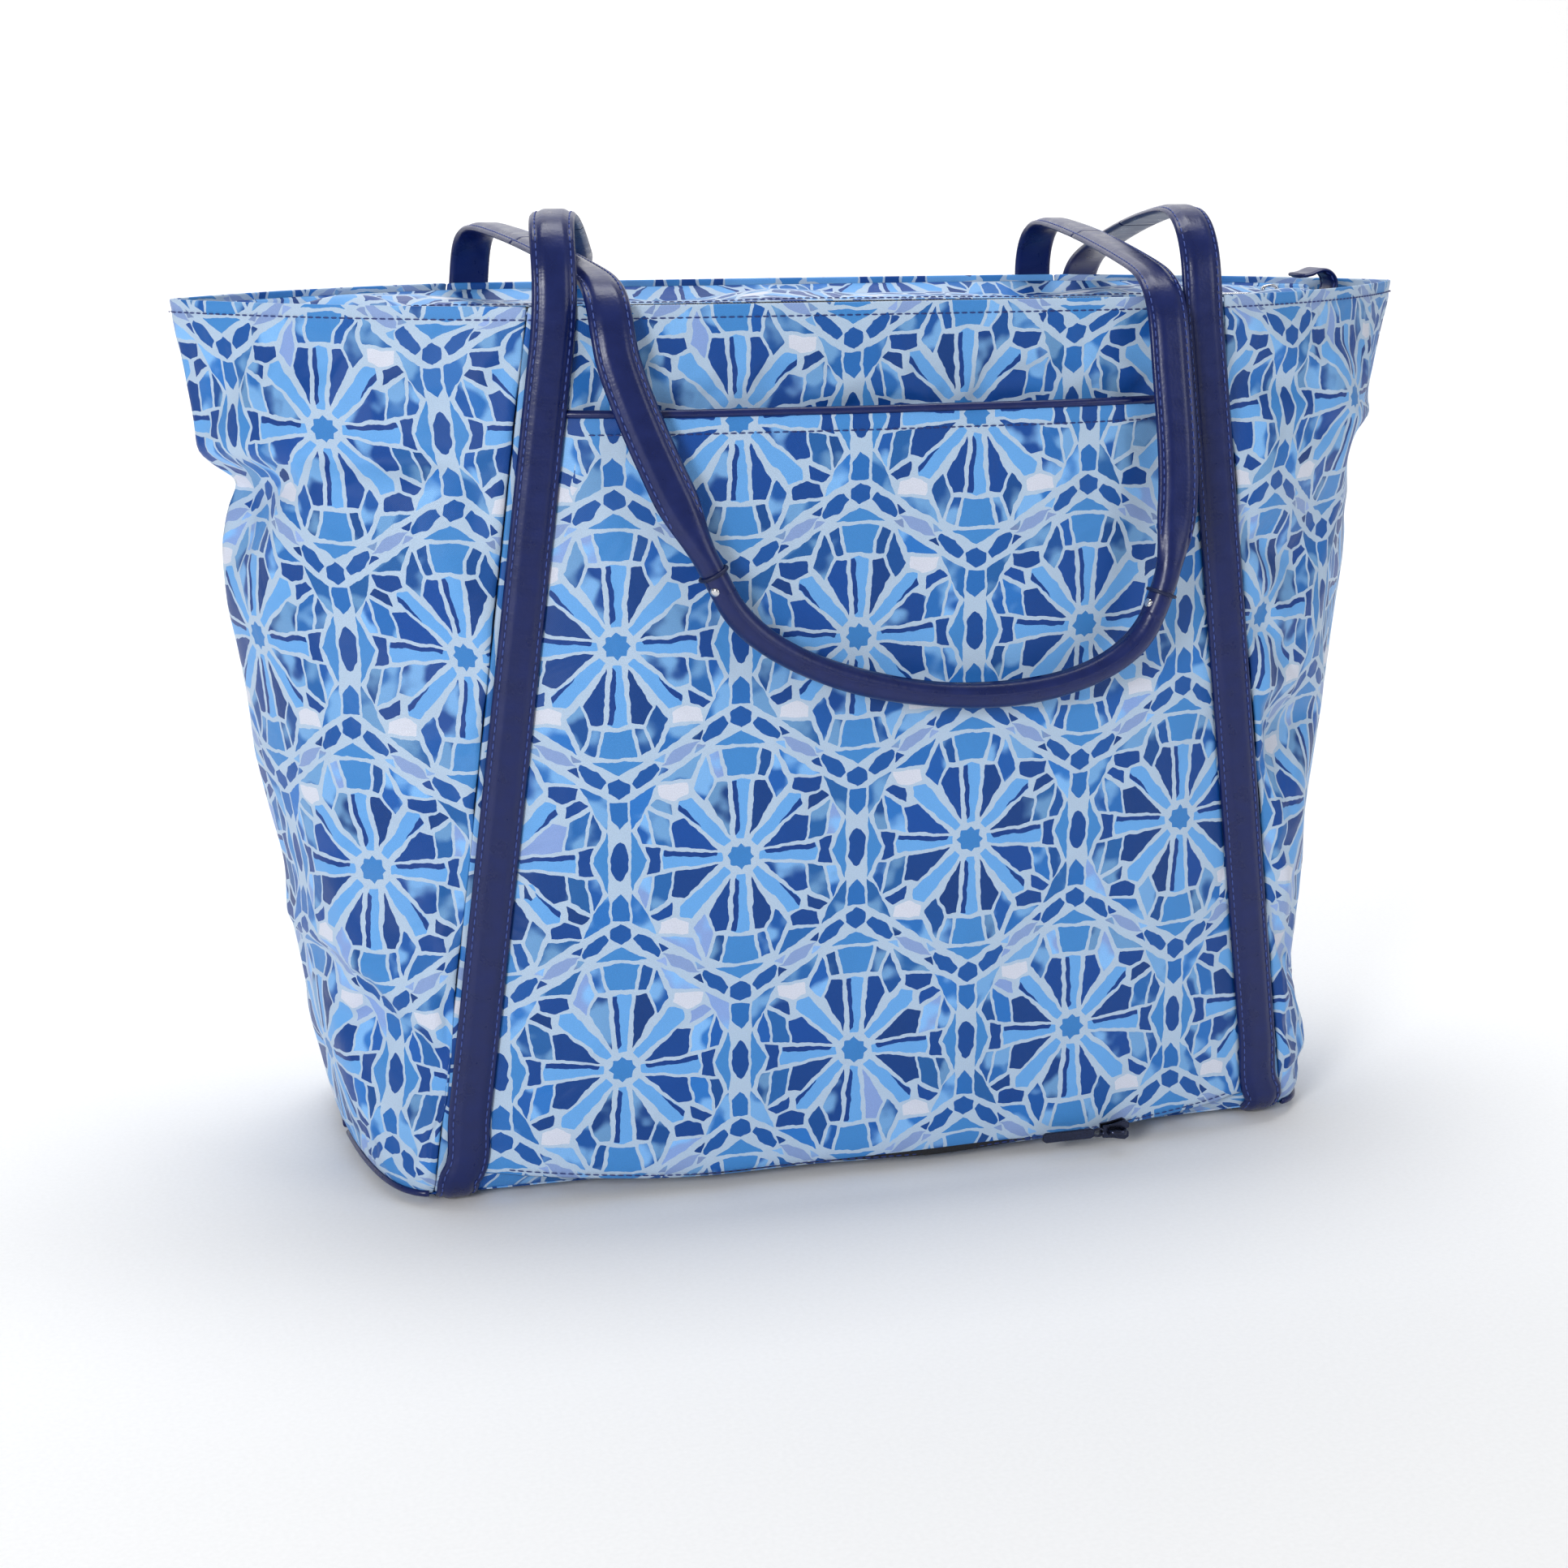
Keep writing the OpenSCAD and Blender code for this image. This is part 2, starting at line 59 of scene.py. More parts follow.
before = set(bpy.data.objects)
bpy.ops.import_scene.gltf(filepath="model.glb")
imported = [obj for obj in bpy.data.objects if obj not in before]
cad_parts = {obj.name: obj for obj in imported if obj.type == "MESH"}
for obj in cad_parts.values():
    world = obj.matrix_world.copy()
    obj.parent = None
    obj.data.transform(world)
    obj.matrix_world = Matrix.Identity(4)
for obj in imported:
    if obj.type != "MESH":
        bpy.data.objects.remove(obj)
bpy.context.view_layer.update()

# Millimetres are the script's own unit. This is one of them in the frame's metres.
MM = 0.001


# ---------------------------------------------------------------- sizes from the frame

def low(node):
    """Lowest corner of a CAD node, in millimetres."""
    return np.array(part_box(node)[0], float) / MM


def high(node):
    """Highest corner of a CAD node, in millimetres."""
    return np.array(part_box(node)[1], float) / MM


class Shape:
    """Sizes of the tote, read from the boxes of its CAD nodes, in millimetres."""

    cloth = 1.2
    strap_half = (high("base_strap_right")[0] - low("base_strap_right")[0]) / 2
    strap_t = high("base_strap_right")[2]
    hem = high("back_panel")[2]
    foot = 14.0
    belly = 5.0
    mouth_half = high("side_front_right")[0] + 1.1
    base_half = high("base_panel")[0] + 4.0
    mouth_deep = high("side_front_right")[1] + 0.1
    base_deep = high("base_panel")[1] + 0.6
    strap_top = low("strap_back_right")[0] + strap_half
    strap_base = (low("base_strap_right")[0] + high("base_strap_right")[0]) / 2
    floor_z = low("back_panel")[2]
    zip_z = high("zip_teeth_front")[2]
    zip_reach = high("zip_teeth_front")[0]
    teeth_y = low("zip_teeth_front")[1]
    lining_top = high("lining")[2]
    sleeve_low = low("sleeve")[2]
    sleeve_top = high("sleeve_binding")[2]
    sleeve_out = -low("sleeve")[1]
    grip_y = (high("back_grip")[1] + low("back_grip")[1]) / 2
    grip_r = (high("back_grip")[1] - low("back_grip")[1]) / 2


def mix(a, b, k):
    """Value between a and b at share k."""
    return a + (b - a) * k


def smooth(k):
    """Share k from 0 to 1 with soft ends."""
    k = np.clip(k, 0, 1)
    return k * k * (3 - 2 * k)


def rise(z):
    """Height z as a share of the bag's height."""
    return z / Shape.hem


def foot(z):
    """How far the wall has turned under at height z."""
    if z >= Shape.foot:
        return 0.0
    return Shape.foot - math.sqrt(Shape.foot ** 2 - (Shape.foot - z) ** 2)


def strap_x(z):
    """Distance of a strap's middle line from the middle of the bag."""
    return mix(Shape.strap_base, Shape.strap_top, rise(z))


def seam_x(z):
    """Distance of the seam beside a strap from the middle of the bag."""
    return strap_x(z) + Shape.strap_half + 1.5


def seam_y(z):
    """Half the depth of the bag at its seams."""
    return mix(Shape.base_deep, Shape.mouth_deep, rise(z)) - foot(z)


def pinch(z):
    """How far the folded end is drawn in, where the cloth buckles."""
    notch = 6.0 * math.exp(-(((z - 263) / 11) ** 2))
    notch += 2.5 * math.exp(-(((z - 118) / 16) ** 2))
    return notch + 1.2 * math.sin(z / 17.0)


def end_x(z):
    """Distance of the folded end from the middle of the bag."""
    return mix(Shape.base_half, Shape.mouth_half, rise(z)) - foot(z)


def bulge(z):
    """How far the middle of a panel stands proud of its seams."""
    return Shape.belly * (0.6 + 0.4 * math.sin(math.pi * rise(z)))


def outline(u, z):
    """A point on the front outline at height z, for u from -1 to 1."""
    a = abs(u)
    sign = -1.0 if u < 0 else 1.0
    if a <= 0.5:
        x = seam_x(z) * u / 0.5
        return np.array([x, seam_y(z) + bulge(z) * (1 - (u / 0.5) ** 2)])
    t = (a - 0.5) / 0.5
    start = np.array([seam_x(z), seam_y(z)])
    end = np.array([end_x(z), 0.0])
    out = np.array([start[1], end[0] - start[0]])
    out = out / np.linalg.norm(out)
    corner = np.array([end[0] - 3, start[1] - 1])
    turn = mix(corner, (start + end) / 2 + out * 20, rise(z) ** 1.2)
    p = (1 - t) ** 2 * start + 2 * t * (1 - t) * turn + t * t * end
    return np.array([sign * p[0], p[1]])


def wall_y(x, z):
    """Distance of the panel from the middle plane at the place x."""
    return outline(0.5 * x / seam_x(z), z)[1]


# ---------------------------------------------------------------- mesh helpers

def mesh_object(name, points, faces, uvs=None, materials=()):
    """A smooth-shaded object from points in millimetres."""
    name = name.replace(" ", "_")
    mesh = bpy.data.meshes.new(name)
    mesh.from_pydata((np.asarray(points, float) * MM).tolist(), [], faces)
    if uvs is not None:
        layer = mesh.uv_layers.new(name="cloth")
        table = np.asarray(uvs, float) * MM
        index = np.empty(len(mesh.loops), dtype=np.int64)
        mesh.loops.foreach_get("vertex_index", index)
        layer.data.foreach_set("uv", table[index].astype(np.float32).ravel())
    mesh.polygons.foreach_set("use_smooth", [True] * len(mesh.polygons))
    mesh.update()
    obj = bpy.data.objects.new(name, mesh)
    bpy.context.scene.collection.objects.link(obj)
    for material in materials:
        mesh.materials.append(material)
    return obj


def grid_faces(rows, cols, closed=False, flip=False):
    """Quads of a grid whose points run along each row."""
    faces = []
    for r in range(rows - 1):
        for c in range(cols if closed else cols - 1):
            n = (c + 1) % cols
            quad = [r * cols + c, r * cols + n, (r + 1) * cols + n, (r + 1) * cols + c]
            faces.append(quad[::-1] if flip else quad)
    return faces


def grid_sheet(name, grid, uv, material, closed=False, flip=False):
    """A sheet from rows of points and their places on the flat cloth."""
    faces = grid_faces(grid.shape[0], grid.shape[1], closed, flip)
    return mesh_object(name, grid.reshape(-1, 3), faces, uv.reshape(-1, 2), [finish(material)])


def thicken(obj, thickness, offset=-1.0, levels=1):
    """Gives a sheet its thickness and rounds it."""
    solid = obj.modifiers.new("thickness", "SOLIDIFY")
    solid.thickness = thickness * MM
    solid.offset = offset
    solid.use_even_offset = False
    if levels:
        sub = obj.modifiers.new("rounding", "SUBSURF")
        sub.levels = levels
        sub.render_levels = levels
    return obj


def row_lengths(grid):
    """Running length along each row of a grid."""
    step = np.linalg.norm(np.diff(grid, axis=1), axis=2)
    return np.concatenate([np.zeros((grid.shape[0], 1)), np.cumsum(step, axis=1)], axis=1)


def running(path):
    """Running length at each point of a path."""
    return np.concatenate([[0], np.cumsum(np.linalg.norm(np.diff(path, axis=0), axis=1))])


def tangents(path):
    """Unit direction at each point of a path."""
    path = np.asarray(path, float)
    d = np.empty_like(path)
    d[1:-1] = path[2:] - path[:-2]
    d[0] = path[1] - path[0]
    d[-1] = path[-1] - path[-2]
    return d / np.maximum(np.linalg.norm(d, axis=1, keepdims=True), 1e-9)


def resample(path, step):
    """The same path with evenly spaced points, along a smooth curve."""
    path = np.asarray(path, float)
    length = running(path)
    count = max(2, int(round(length[-1] / step)) + 1)
    at = np.linspace(0, length[-1], count)
    slope = np.gradient(path, length, axis=0)
    out = np.empty((count, path.shape[1]))
    for i, s in enumerate(at):
        k = min(max(int(np.searchsorted(length, s)) - 1, 0), len(path) - 2)
        h = length[k + 1] - length[k]
        t = (s - length[k]) / h
        h00 = 2 * t ** 3 - 3 * t ** 2 + 1
        h10 = t ** 3 - 2 * t ** 2 + t
        h01 = -2 * t ** 3 + 3 * t ** 2
        h11 = t ** 3 - t ** 2
        out[i] = h00 * path[k] + h10 * h * slope[k] + h01 * path[k + 1] + h11 * h * slope[k + 1]
    return out


def frames(path, side_hint):
    """Direction, sideways and outward unit vectors at each point of a path."""
    t = tangents(path)
    hint = np.broadcast_to(np.asarray(side_hint, float), t.shape)
    side = hint - (hint * t).sum(1, keepdims=True) * t
    side = side / np.linalg.norm(side, axis=1, keepdims=True)
    return t, side, np.cross(t, side)


# One stitch: its share of the pitch, its width and how far it stands proud; then the rings of its
# bead, each with its place along the stitch and its thickness.
STITCH_SHARE = 0.74
STITCH_WIDTH = 0.55
STITCH_PROUD = 0.28
STITCH_SIDES = 6
STITCH_RINGS = [(-1.0, 0.35), (-0.6, 0.95), (0.0, 1.0), (0.6, 0.95), (1.0, 0.35)]


def stitch_row(name, path, outward, thread):
    """A row of stitches along a path, each a small rounded bead of thread sunk at both ends."""
    length = running(path)
    count = int(length[-1] / (settings().stitch_pitch / MM))
    centres = (np.arange(count) + 0.5) * length[-1] / count
    long = length[-1] / count * STITCH_SHARE / 2

    def at(s, table):
        return np.array([np.interp(s, length, table[:, k]) for k in range(3)])

    points = []
    faces = []
    sides = STITCH_SIDES
    for s in centres:
        first = len(points)
        n = at(s, outward)
        n = n / np.linalg.norm(n)
        a = at(max(s - long, 0), path)
        b = at(min(s + long, length[-1]), path)
        t = (b - a) / max(np.linalg.norm(b - a), 1e-9)
        side = np.cross(t, n)
        middle = at(s, path)
        for along, thick in STITCH_RINGS:
            centre = middle + t * along * long + n * STITCH_PROUD * (thick - 0.35) * 0.7
            for k in range(sides):
                angle = 2 * math.pi * k / sides
                ring = side * math.cos(angle) + n * math.sin(angle)
                points.append(centre + ring * thick * STITCH_WIDTH / 2)
        for r in range(len(STITCH_RINGS) - 1):
            for k in range(sides):
                m = (k + 1) % sides
                faces.append([first + r * sides + k, first + r * sides + m,
                              first + (r + 1) * sides + m, first + (r + 1) * sides + k])
        faces.append([first + k for k in range(sides)][::-1])
        last = first + (len(STITCH_RINGS) - 1) * sides
        faces.append([last + k for k in range(sides)])
    return mesh_object(name, points, faces, None, [finish(thread)])


def face_outward(obj):
    """Turns the faces of a closed piece so that they look outward."""
    work = bmesh.new()
    work.from_mesh(obj.data)
    bmesh.ops.recalc_face_normals(work, faces=work.faces)
    work.to_mesh(obj.data)
    work.free()
    return obj


def sweep(name, path, side_hint, profile, material):
    """Sweeps a closed profile along a path. profile(share, arc) gives (sideways, outward) points."""
    _, side, out = frames(path, side_hint)
    length = running(path)
    points = []
    uvs = []
    for i, p in enumerate(path):
        ring = profile(length[i] / length[-1], length[i])
        around = 0.0
        for k, (a, b) in enumerate(ring):
            points.append(p + side[i] * a + out[i] * b)
            if k:
                around += math.hypot(a - ring[k - 1][0], b - ring[k - 1][1])
            uvs.append((around, length[i]))
    cols = len(ring)
    faces = grid_faces(len(path), cols, closed=True)
    faces.append([c for c in range(cols)][::-1])
    faces.append([(len(path) - 1) * cols + c for c in range(cols)])
    return face_outward(mesh_object(name, points, faces, uvs, [finish(material)]))


def circle(radius, sides):
    """Points of a round section."""
    return [(radius * math.cos(a), radius * math.sin(a)) for a in np.linspace(0, 2 * math.pi, sides + 1)[:-1]]


# ---------------------------------------------------------------- material helpers

def colour(code):
    """Linear colour from an sRGB hex code."""
    parts = [int(code[i:i + 2], 16) / 255 for i in (1, 3, 5)]
    linear = [c / 12.92 if c <= 0.04045 else ((c + 0.055) / 1.055) ** 2.4 for c in parts]
    return (*linear, 1.0)


def add(tree, kind, settings=None, inputs=None):
    """Adds a node, sets its attributes, and sets or links its inputs."""
    node = tree.nodes.new(kind)
    for key, value in (settings or {}).items():
        setattr(node, key, value)
    for key, value in (inputs or {}).items():
        if isinstance(value, bpy.types.NodeSocket):
            tree.links.new(value, node.inputs[key])
        else:
            node.inputs[key].default_value = value
    return node


def calc(tree, operation, *values):
    """A Math node's output."""
    return add(tree, "ShaderNodeMath", {"operation": operation}, dict(enumerate(values))).outputs[0]


def vector(tree, operation, *values):
    """A Vector Math node's output, the number for a dot product or a length."""
    node = add(tree, "ShaderNodeVectorMath", {"operation": operation}, dict(enumerate(values)))
    return node.outputs["Value" if operation in ("DOT_PRODUCT", "LENGTH") else "Vector"]


def grey(tree, value):
    """A colour with that value in all three parts."""
    return add(tree, "ShaderNodeCombineColor", None, {0: value, 1: value, 2: value}).outputs[0]


def spread(tree, value, low_in, high_in, low_out, high_out, kind="LINEAR"):
    """A value moved from one range to another, and kept inside it."""
    return add(tree, "ShaderNodeMapRange", {"interpolation_type": kind},
               {0: value, 1: low_in, 2: high_in, 3: low_out, 4: high_out}).outputs[0]


def blend_colour(tree, factor, a, b, kind="MIX"):
    """Mixes two colours."""
    node = add(tree, "ShaderNodeMix", {"data_type": "RGBA", "blend_type": kind}, {0: factor, 6: a, 7: b})
    return node.outputs[2]


def noise(tree, place, scale, detail, **more):
    """The height of a noise with that many features in a millimetre."""
    inputs = {"Vector": place, "Scale": scale, "Detail": detail}
    inputs.update({key.capitalize(): value for key, value in more.items()})
    return add(tree, "ShaderNodeTexNoise", None, inputs).outputs["Fac"]


def mottled(tree, code, height, darkest, lightest):
    """A colour that follows a noise between two shares of itself."""
    tone = grey(tree, spread(tree, height, 0.3, 0.7, darkest, lightest))
    return blend_colour(tree, 1.0, colour(code), tone, "MULTIPLY")


def new_material(name):
    """An empty node material and its tree, output linked to a Principled shader."""
    material = bpy.data.materials.new(name)
    material.use_nodes = True
    tree = material.node_tree
    tree.nodes.clear()
    shader = tree.nodes.new("ShaderNodeBsdfPrincipled")
    output = tree.nodes.new("ShaderNodeOutputMaterial")
    tree.links.new(shader.outputs[0], output.inputs[0])
    return material, tree, shader


def cloth_mm(tree):
    """The flat cloth coordinate of a piece, in millimetres."""
    place = add(tree, "ShaderNodeUVMap", {"uv_map": "cloth"}).outputs[0]
    return vector(tree, "MULTIPLY", place, (1000.0, 1000.0, 0.0))


def weave(tree, place, thread):
    """Height of a plain weave with threads that wide, from -1 to 1."""
    parts = add(tree, "ShaderNodeSeparateXYZ", None, {0: place})
    turn = 2 * math.pi / thread / 2
    across = calc(tree, "SINE", calc(tree, "MULTIPLY", parts.outputs[0], turn))
    along = calc(tree, "SINE", calc(tree, "MULTIPLY", parts.outputs[1], turn))
    return calc(tree, "MULTIPLY", across, along)


def bump(tree, shader, height, distance_mm, strength=1.0, under=None):
    """Raises a height, which runs from 0 to 1, by that many millimetres."""
    inputs = {"Strength": strength, "Distance": distance_mm * MM, "Height": height}
    if under is not None:
        inputs["Normal"] = under
    node = add(tree, "ShaderNodeBump", None, inputs)
    tree.links.new(node.outputs[0], shader.inputs["Normal"])
    return node.outputs[0]


# The print repeats on a staggered lattice of rosettes. Each cell of glass-like colour in one
# quarter of a rosette is a tone and its corners, anticlockwise, in millimetres from the centre.
PRINT_PITCH = 89.0
PRINT_ROW = 79.5
TONES = {
    "line": "#b0c6de", "star": "#3a80c6", "petal": "#66a6e6", "shade": "#0b3c88",
    "deep": "#0c4490", "dusk": "#1655a2", "mid": "#266cb8", "clear": "#4187cc",
    "white": "#d2d7e6", "lilac": "#869fd0", "night": "#0d4894", "wash": "#79afe4",
}
# Share of the colour ramp between one cell's number and the next.
CELL_STEP = 1 / 32
# How far the corners of a cell are rounded, and how far the paint runs past its edge.
CELL_ROUND = 0.6
CELL_BLEED = 0.32
CELLS = [
    ("star", [(0, 0), (3.3, 0), (3.3, 3.3), (0, 3.3)]),
    ("star", [(0, 0), (4.67, 0), (0, 4.67)]),
    ("petal", [(0, 7.2), (1.3, 7.2), (3.2, 28.4), (0, 29.2)]),
    ("petal", [(7.2, 0), (28.8, 0), (28.2, 3.2), (7.2, 1.3)]),
    ("petal", [(4.3, 6.0), (6.0, 4.3), (22.6, 18.2), (22.3, 21.6), (18.2, 22.6)]),
    ("shade", [(0.6, 9.5), (1.5, 8.6), (3.2, 28.2), (1.9, 28.4)]),
    ("shade", [(9.0, 1.5), (9.5, 0.6), (28.2, 1.9), (28.0, 3.2)]),
    ("shade", [(7.0, 5.3), (22.6, 18.4), (22.2, 20.3), (20.8, 18.6)]),
    ("deep", [(4.2, 9.0), (11.6, 22.0), (8.9, 28.2), (5.4, 28.0)]),
    ("deep", [(9.0, 3.2), (24.0, 5.0), (25.4, 13.6), (20.8, 14.6)]),
    ("dusk", [(13.4, 22.0), (17.4, 26.4), (13.1, 37.0), (10.4, 29.4)]),
    ("mid", [(25.7, 5.3), (31.2, 6.2), (33.6, 18.6), (27.2, 14.9)]),
    ("dusk", [(33.0, 6.4), (35.8, 6.6), (37.9, 11.8), (35.2, 17.4)]),
    ("clear", [(0, 31.2), (4.5, 31.0), (6.6, 40.2), (0, 40.8)]),
    ("dusk", [(6.4, 30.6), (8.7, 30.4), (11.4, 38.2), (8.4, 39.6)]),
    ("mid", [(15.0, 38.6), (18.6, 30.4), (28.6, 29.6)]),
    ("white", [(20.0, 28.2), (19.6, 24.6), (24.3, 22.4), (29.3, 24.0), (30.0, 27.8)]),
    ("deep", [(26.0, 21.0), (25.6, 16.8), (33.0, 20.8), (30.6, 22.8)]),
    ("mid", [(31.6, 27.6), (36.2, 17.6), (40.0, 13.0), (40.0, 22.8)]),
    ("deep", [(30.2, 0), (33.2, 0), (34.6, 4.9), (30.0, 4.2)]),
    ("clear", [(35.1, 0), (39.9, 0), (39.9, 10.4)]),
    ("night", [(41.7, 0), (44.6, 0), (44.6, 7.2), (43.4, 6.6), (41.7, 3.6)]),
    ("mid", [(41.6, 15.6), (44.6, 12.6), (44.6, 22.0), (41.6, 22.0)]),
    ("dusk", [(41.0, 25.6), (44.6, 23.6), (44.6, 30.8), (41.0, 28.9)]),
    ("dusk", [(0, 48.7), (3.5, 50.6), (3.5, 53.8), (0, 55.6)]),
    ("lilac", [(16.2, 43.6), (19.4, 39.2), (25.6, 36.2), (29.0, 36.0), (25.4, 40.4), (19.4, 43.6)]),
    ("dusk", [(4.8, 50.2), (8.0, 45.9), (13.3, 43.4), (14.4, 44.8), (11.6, 49.2), (6.4, 52.0)]),
    ("dusk", [(30.4, 34.7), (32.9, 30.3), (38.1, 27.4), (39.7, 29.3), (36.5, 33.6), (31.2, 36.1)]),
    ("clear", [(0, 42.6), (8.2, 42.4), (0, 47.0)]),
    ("lilac", [(13.6, 41.9), (16.6, 40.0), (15.9, 42.3)]),
    ("deep", [(27.2, 34.2), (30.0, 32.2), (29.3, 34.9)]),
]


def lattice(tree, place):
    """Place from the nearest rosette's centre, and that centre, in millimetres."""
    half = (PRINT_PITCH / 2, PRINT_ROW, 1.0)
    back = (-PRINT_PITCH / 2, -PRINT_ROW, -1.0)
    first = vector(tree, "WRAP", place, half, back)
    moved = vector(tree, "SUBTRACT", place, (PRINT_PITCH / 2, PRINT_ROW, 0.0))
    second = vector(tree, "WRAP", moved, half, back)
    nearer = calc(tree, "LESS_THAN", vector(tree, "LENGTH", first), vector(tree, "LENGTH", second))
    local = add(tree, "ShaderNodeMix", {"data_type": "VECTOR"}, {0: nearer, 4: second, 5: first}).outputs[1]
    return local, vector(tree, "SUBTRACT", place, local)


def cell_number(tree, spot):
    """Number of the cell that holds a spot, 0 on the lines between cells."""
    number = None
    for k, (_, corners) in enumerate(CELLS, 1):
        distance = None
        for i, a in enumerate(corners):
            b = corners[(i + 1) % len(corners)]
            on_axis = (a[0] == 0 and b[0] == 0) or (a[1] == 0 and b[1] == 0)
            on_edge = a[0] > PRINT_PITCH / 2 and b[0] > PRINT_PITCH / 2
            if on_axis or on_edge:
                continue
            run = math.hypot(b[0] - a[0], b[1] - a[1])
            normal = ((b[1] - a[1]) / run, (a[0] - b[0]) / run)
            plane = (normal[0], normal[1], -(normal[0] * a[0] + normal[1] * a[1]))
            side = vector(tree, "DOT_PRODUCT", spot, plane)
            if distance is None:
                distance = side
            else:
                distance = calc(tree, "SMOOTH_MAX", distance, side, CELL_ROUND)
        inside = calc(tree, "LESS_THAN", distance, CELL_BLEED)
        here = calc(tree, "MULTIPLY", inside, float(k))
        number = here if number is None else calc(tree, "MAXIMUM", number, here)
    return number


def numbers_of(tone):
    """Numbers of the cells painted in a tone."""
    return [k for k, (name, _) in enumerate(CELLS, 1) if name == tone]


def whole_cells():
    """Numbers of the cells that lie inside one quarter of a rosette, and so may have their own tone."""
    return [k for k, (_, corners) in enumerate(CELLS, 1)
            if all(x > 0.1 and 0.1 < y < 51.5 - 0.56 * x and x < PRINT_PITCH / 2 for x, y in corners)]


def in_cells(tree, number, wanted):
    """1 where the cell's number is one of those wanted, else 0."""
    found = None
    for k in wanted:
        same = calc(tree, "COMPARE", number, float(k), 0.4)
        found = same if found is None else calc(tree, "ADD", found, same)
    return found


def cell_tones(tree, number):
    """The printed tone of each cell, and the pale line between cells."""
    node = add(tree, "ShaderNodeValToRGB", None, {0: calc(tree, "DIVIDE", number, 1 / CELL_STEP)})
    ramp = node.color_ramp
    ramp.interpolation = "CONSTANT"
    ramp.elements[0].position = 0.0
    ramp.elements[0].color = colour(TONES["line"])
    ramp.elements[1].position = 0.5 * CELL_STEP
    ramp.elements[1].color = colour(TONES[CELLS[0][0]])
    for k, (tone, _) in enumerate(CELLS[1:], 2):
        ramp.elements.new((k - 0.5) * CELL_STEP).color = colour(TONES[tone])
    return node.outputs[0]


def cell_chances(tree, local, centre, number):
    """Two chance numbers for each cell of each rosette."""
    sign = vector(tree, "MULTIPLY", vector(tree, "SIGN", local), (3.1, 7.7, 0.0))
    seed = vector(tree, "ADD", vector(tree, "ADD", vector(tree, "MULTIPLY", centre, (0.1, 0.1, 0.0)), sign),
                  add(tree, "ShaderNodeCombineXYZ", None, {2: number}).outputs[0])
    seed = vector(tree, "SNAP", seed, (0.5, 0.5, 0.5))
    chance = add(tree, "ShaderNodeTexWhiteNoise", None, {"Vector": seed})
    parts = add(tree, "ShaderNodeSeparateXYZ", None, {0: chance.outputs["Color"]})
    return chance.outputs["Value"], parts.outputs[1]


def painted_shadows(tree, base, number, local, first):
    """Leaves the shadow away beside some petals, and paints some of the white quads over."""
    turn = add(tree, "ShaderNodeSeparateXYZ", None, {0: local})
    upright, level, slant = numbers_of("shade")
    lit = None
    for cell, operation, value, limit in ((upright, "GREATER_THAN", turn.outputs[0], 0.0),
                                          (level, "LESS_THAN", turn.outputs[1], 0.0),
                                          (slant, "GREATER_THAN", first, 0.6)):
        bare = calc(tree, "MULTIPLY", in_cells(tree, number, [cell]), calc(tree, operation, value, limit))
        lit = bare if lit is None else calc(tree, "ADD", lit, bare)
    base = blend_colour(tree, lit, base, colour(TONES["petal"]))
    over = calc(tree, "MULTIPLY", in_cells(tree, number, numbers_of("white")),
                calc(tree, "GREATER_THAN", first, 0.5))
    return blend_colour(tree, over, base, colour(TONES["deep"]))


def plain_cells(tree, number):
    """1 in the whole cells that are not a petal, its shadow or a white quad."""
    on_cell = calc(tree, "GREATER_THAN", number, 0.5)
    petal, shade, white = (in_cells(tree, number, numbers_of(tone)) for tone in ("petal", "shade", "white"))
    plain = calc(tree, "SUBTRACT", on_cell, calc(tree, "ADD", calc(tree, "ADD", petal, shade), white))
    return calc(tree, "MULTIPLY", plain, in_cells(tree, number, whole_cells()))


def watercolour(tree, base, flat, number, plain, first, second):
    """Thins the pigment from one side of a cell to the other, and gives each cell its own depth."""
    pool = add(tree, "ShaderNodeCombineXYZ", None, {0: calc(tree, "MULTIPLY", second, 90.0), 2: number})
    wash = noise(tree, vector(tree, "ADD", flat, pool.outputs[0]), 0.075, 1.5)
    thin = spread(tree, wash, 0.47, 0.6, 0.0, 0.9, "SMOOTHSTEP")
    dark = in_cells(tree, number, numbers_of("deep") + numbers_of("night"))
    wet = calc(tree, "SUBTRACT", plain, calc(tree, "MULTIPLY", dark, calc(tree, "GREATER_THAN", 0.72, first)))
    lighter = calc(tree, "MAXIMUM", calc(tree, "MULTIPLY", thin, wet), 0.0)
    base = blend_colour(tree, lighter, base, colour(TONES["wash"]))
    depth = calc(tree, "ADD", calc(tree, "MULTIPLY", plain, calc(tree, "MULTIPLY_ADD", second, 0.5, 0.74)),
                 calc(tree, "SUBTRACT", 1.0, plain))
    return blend_colour(tree, 1.0, base, grey(tree, depth), "MULTIPLY")


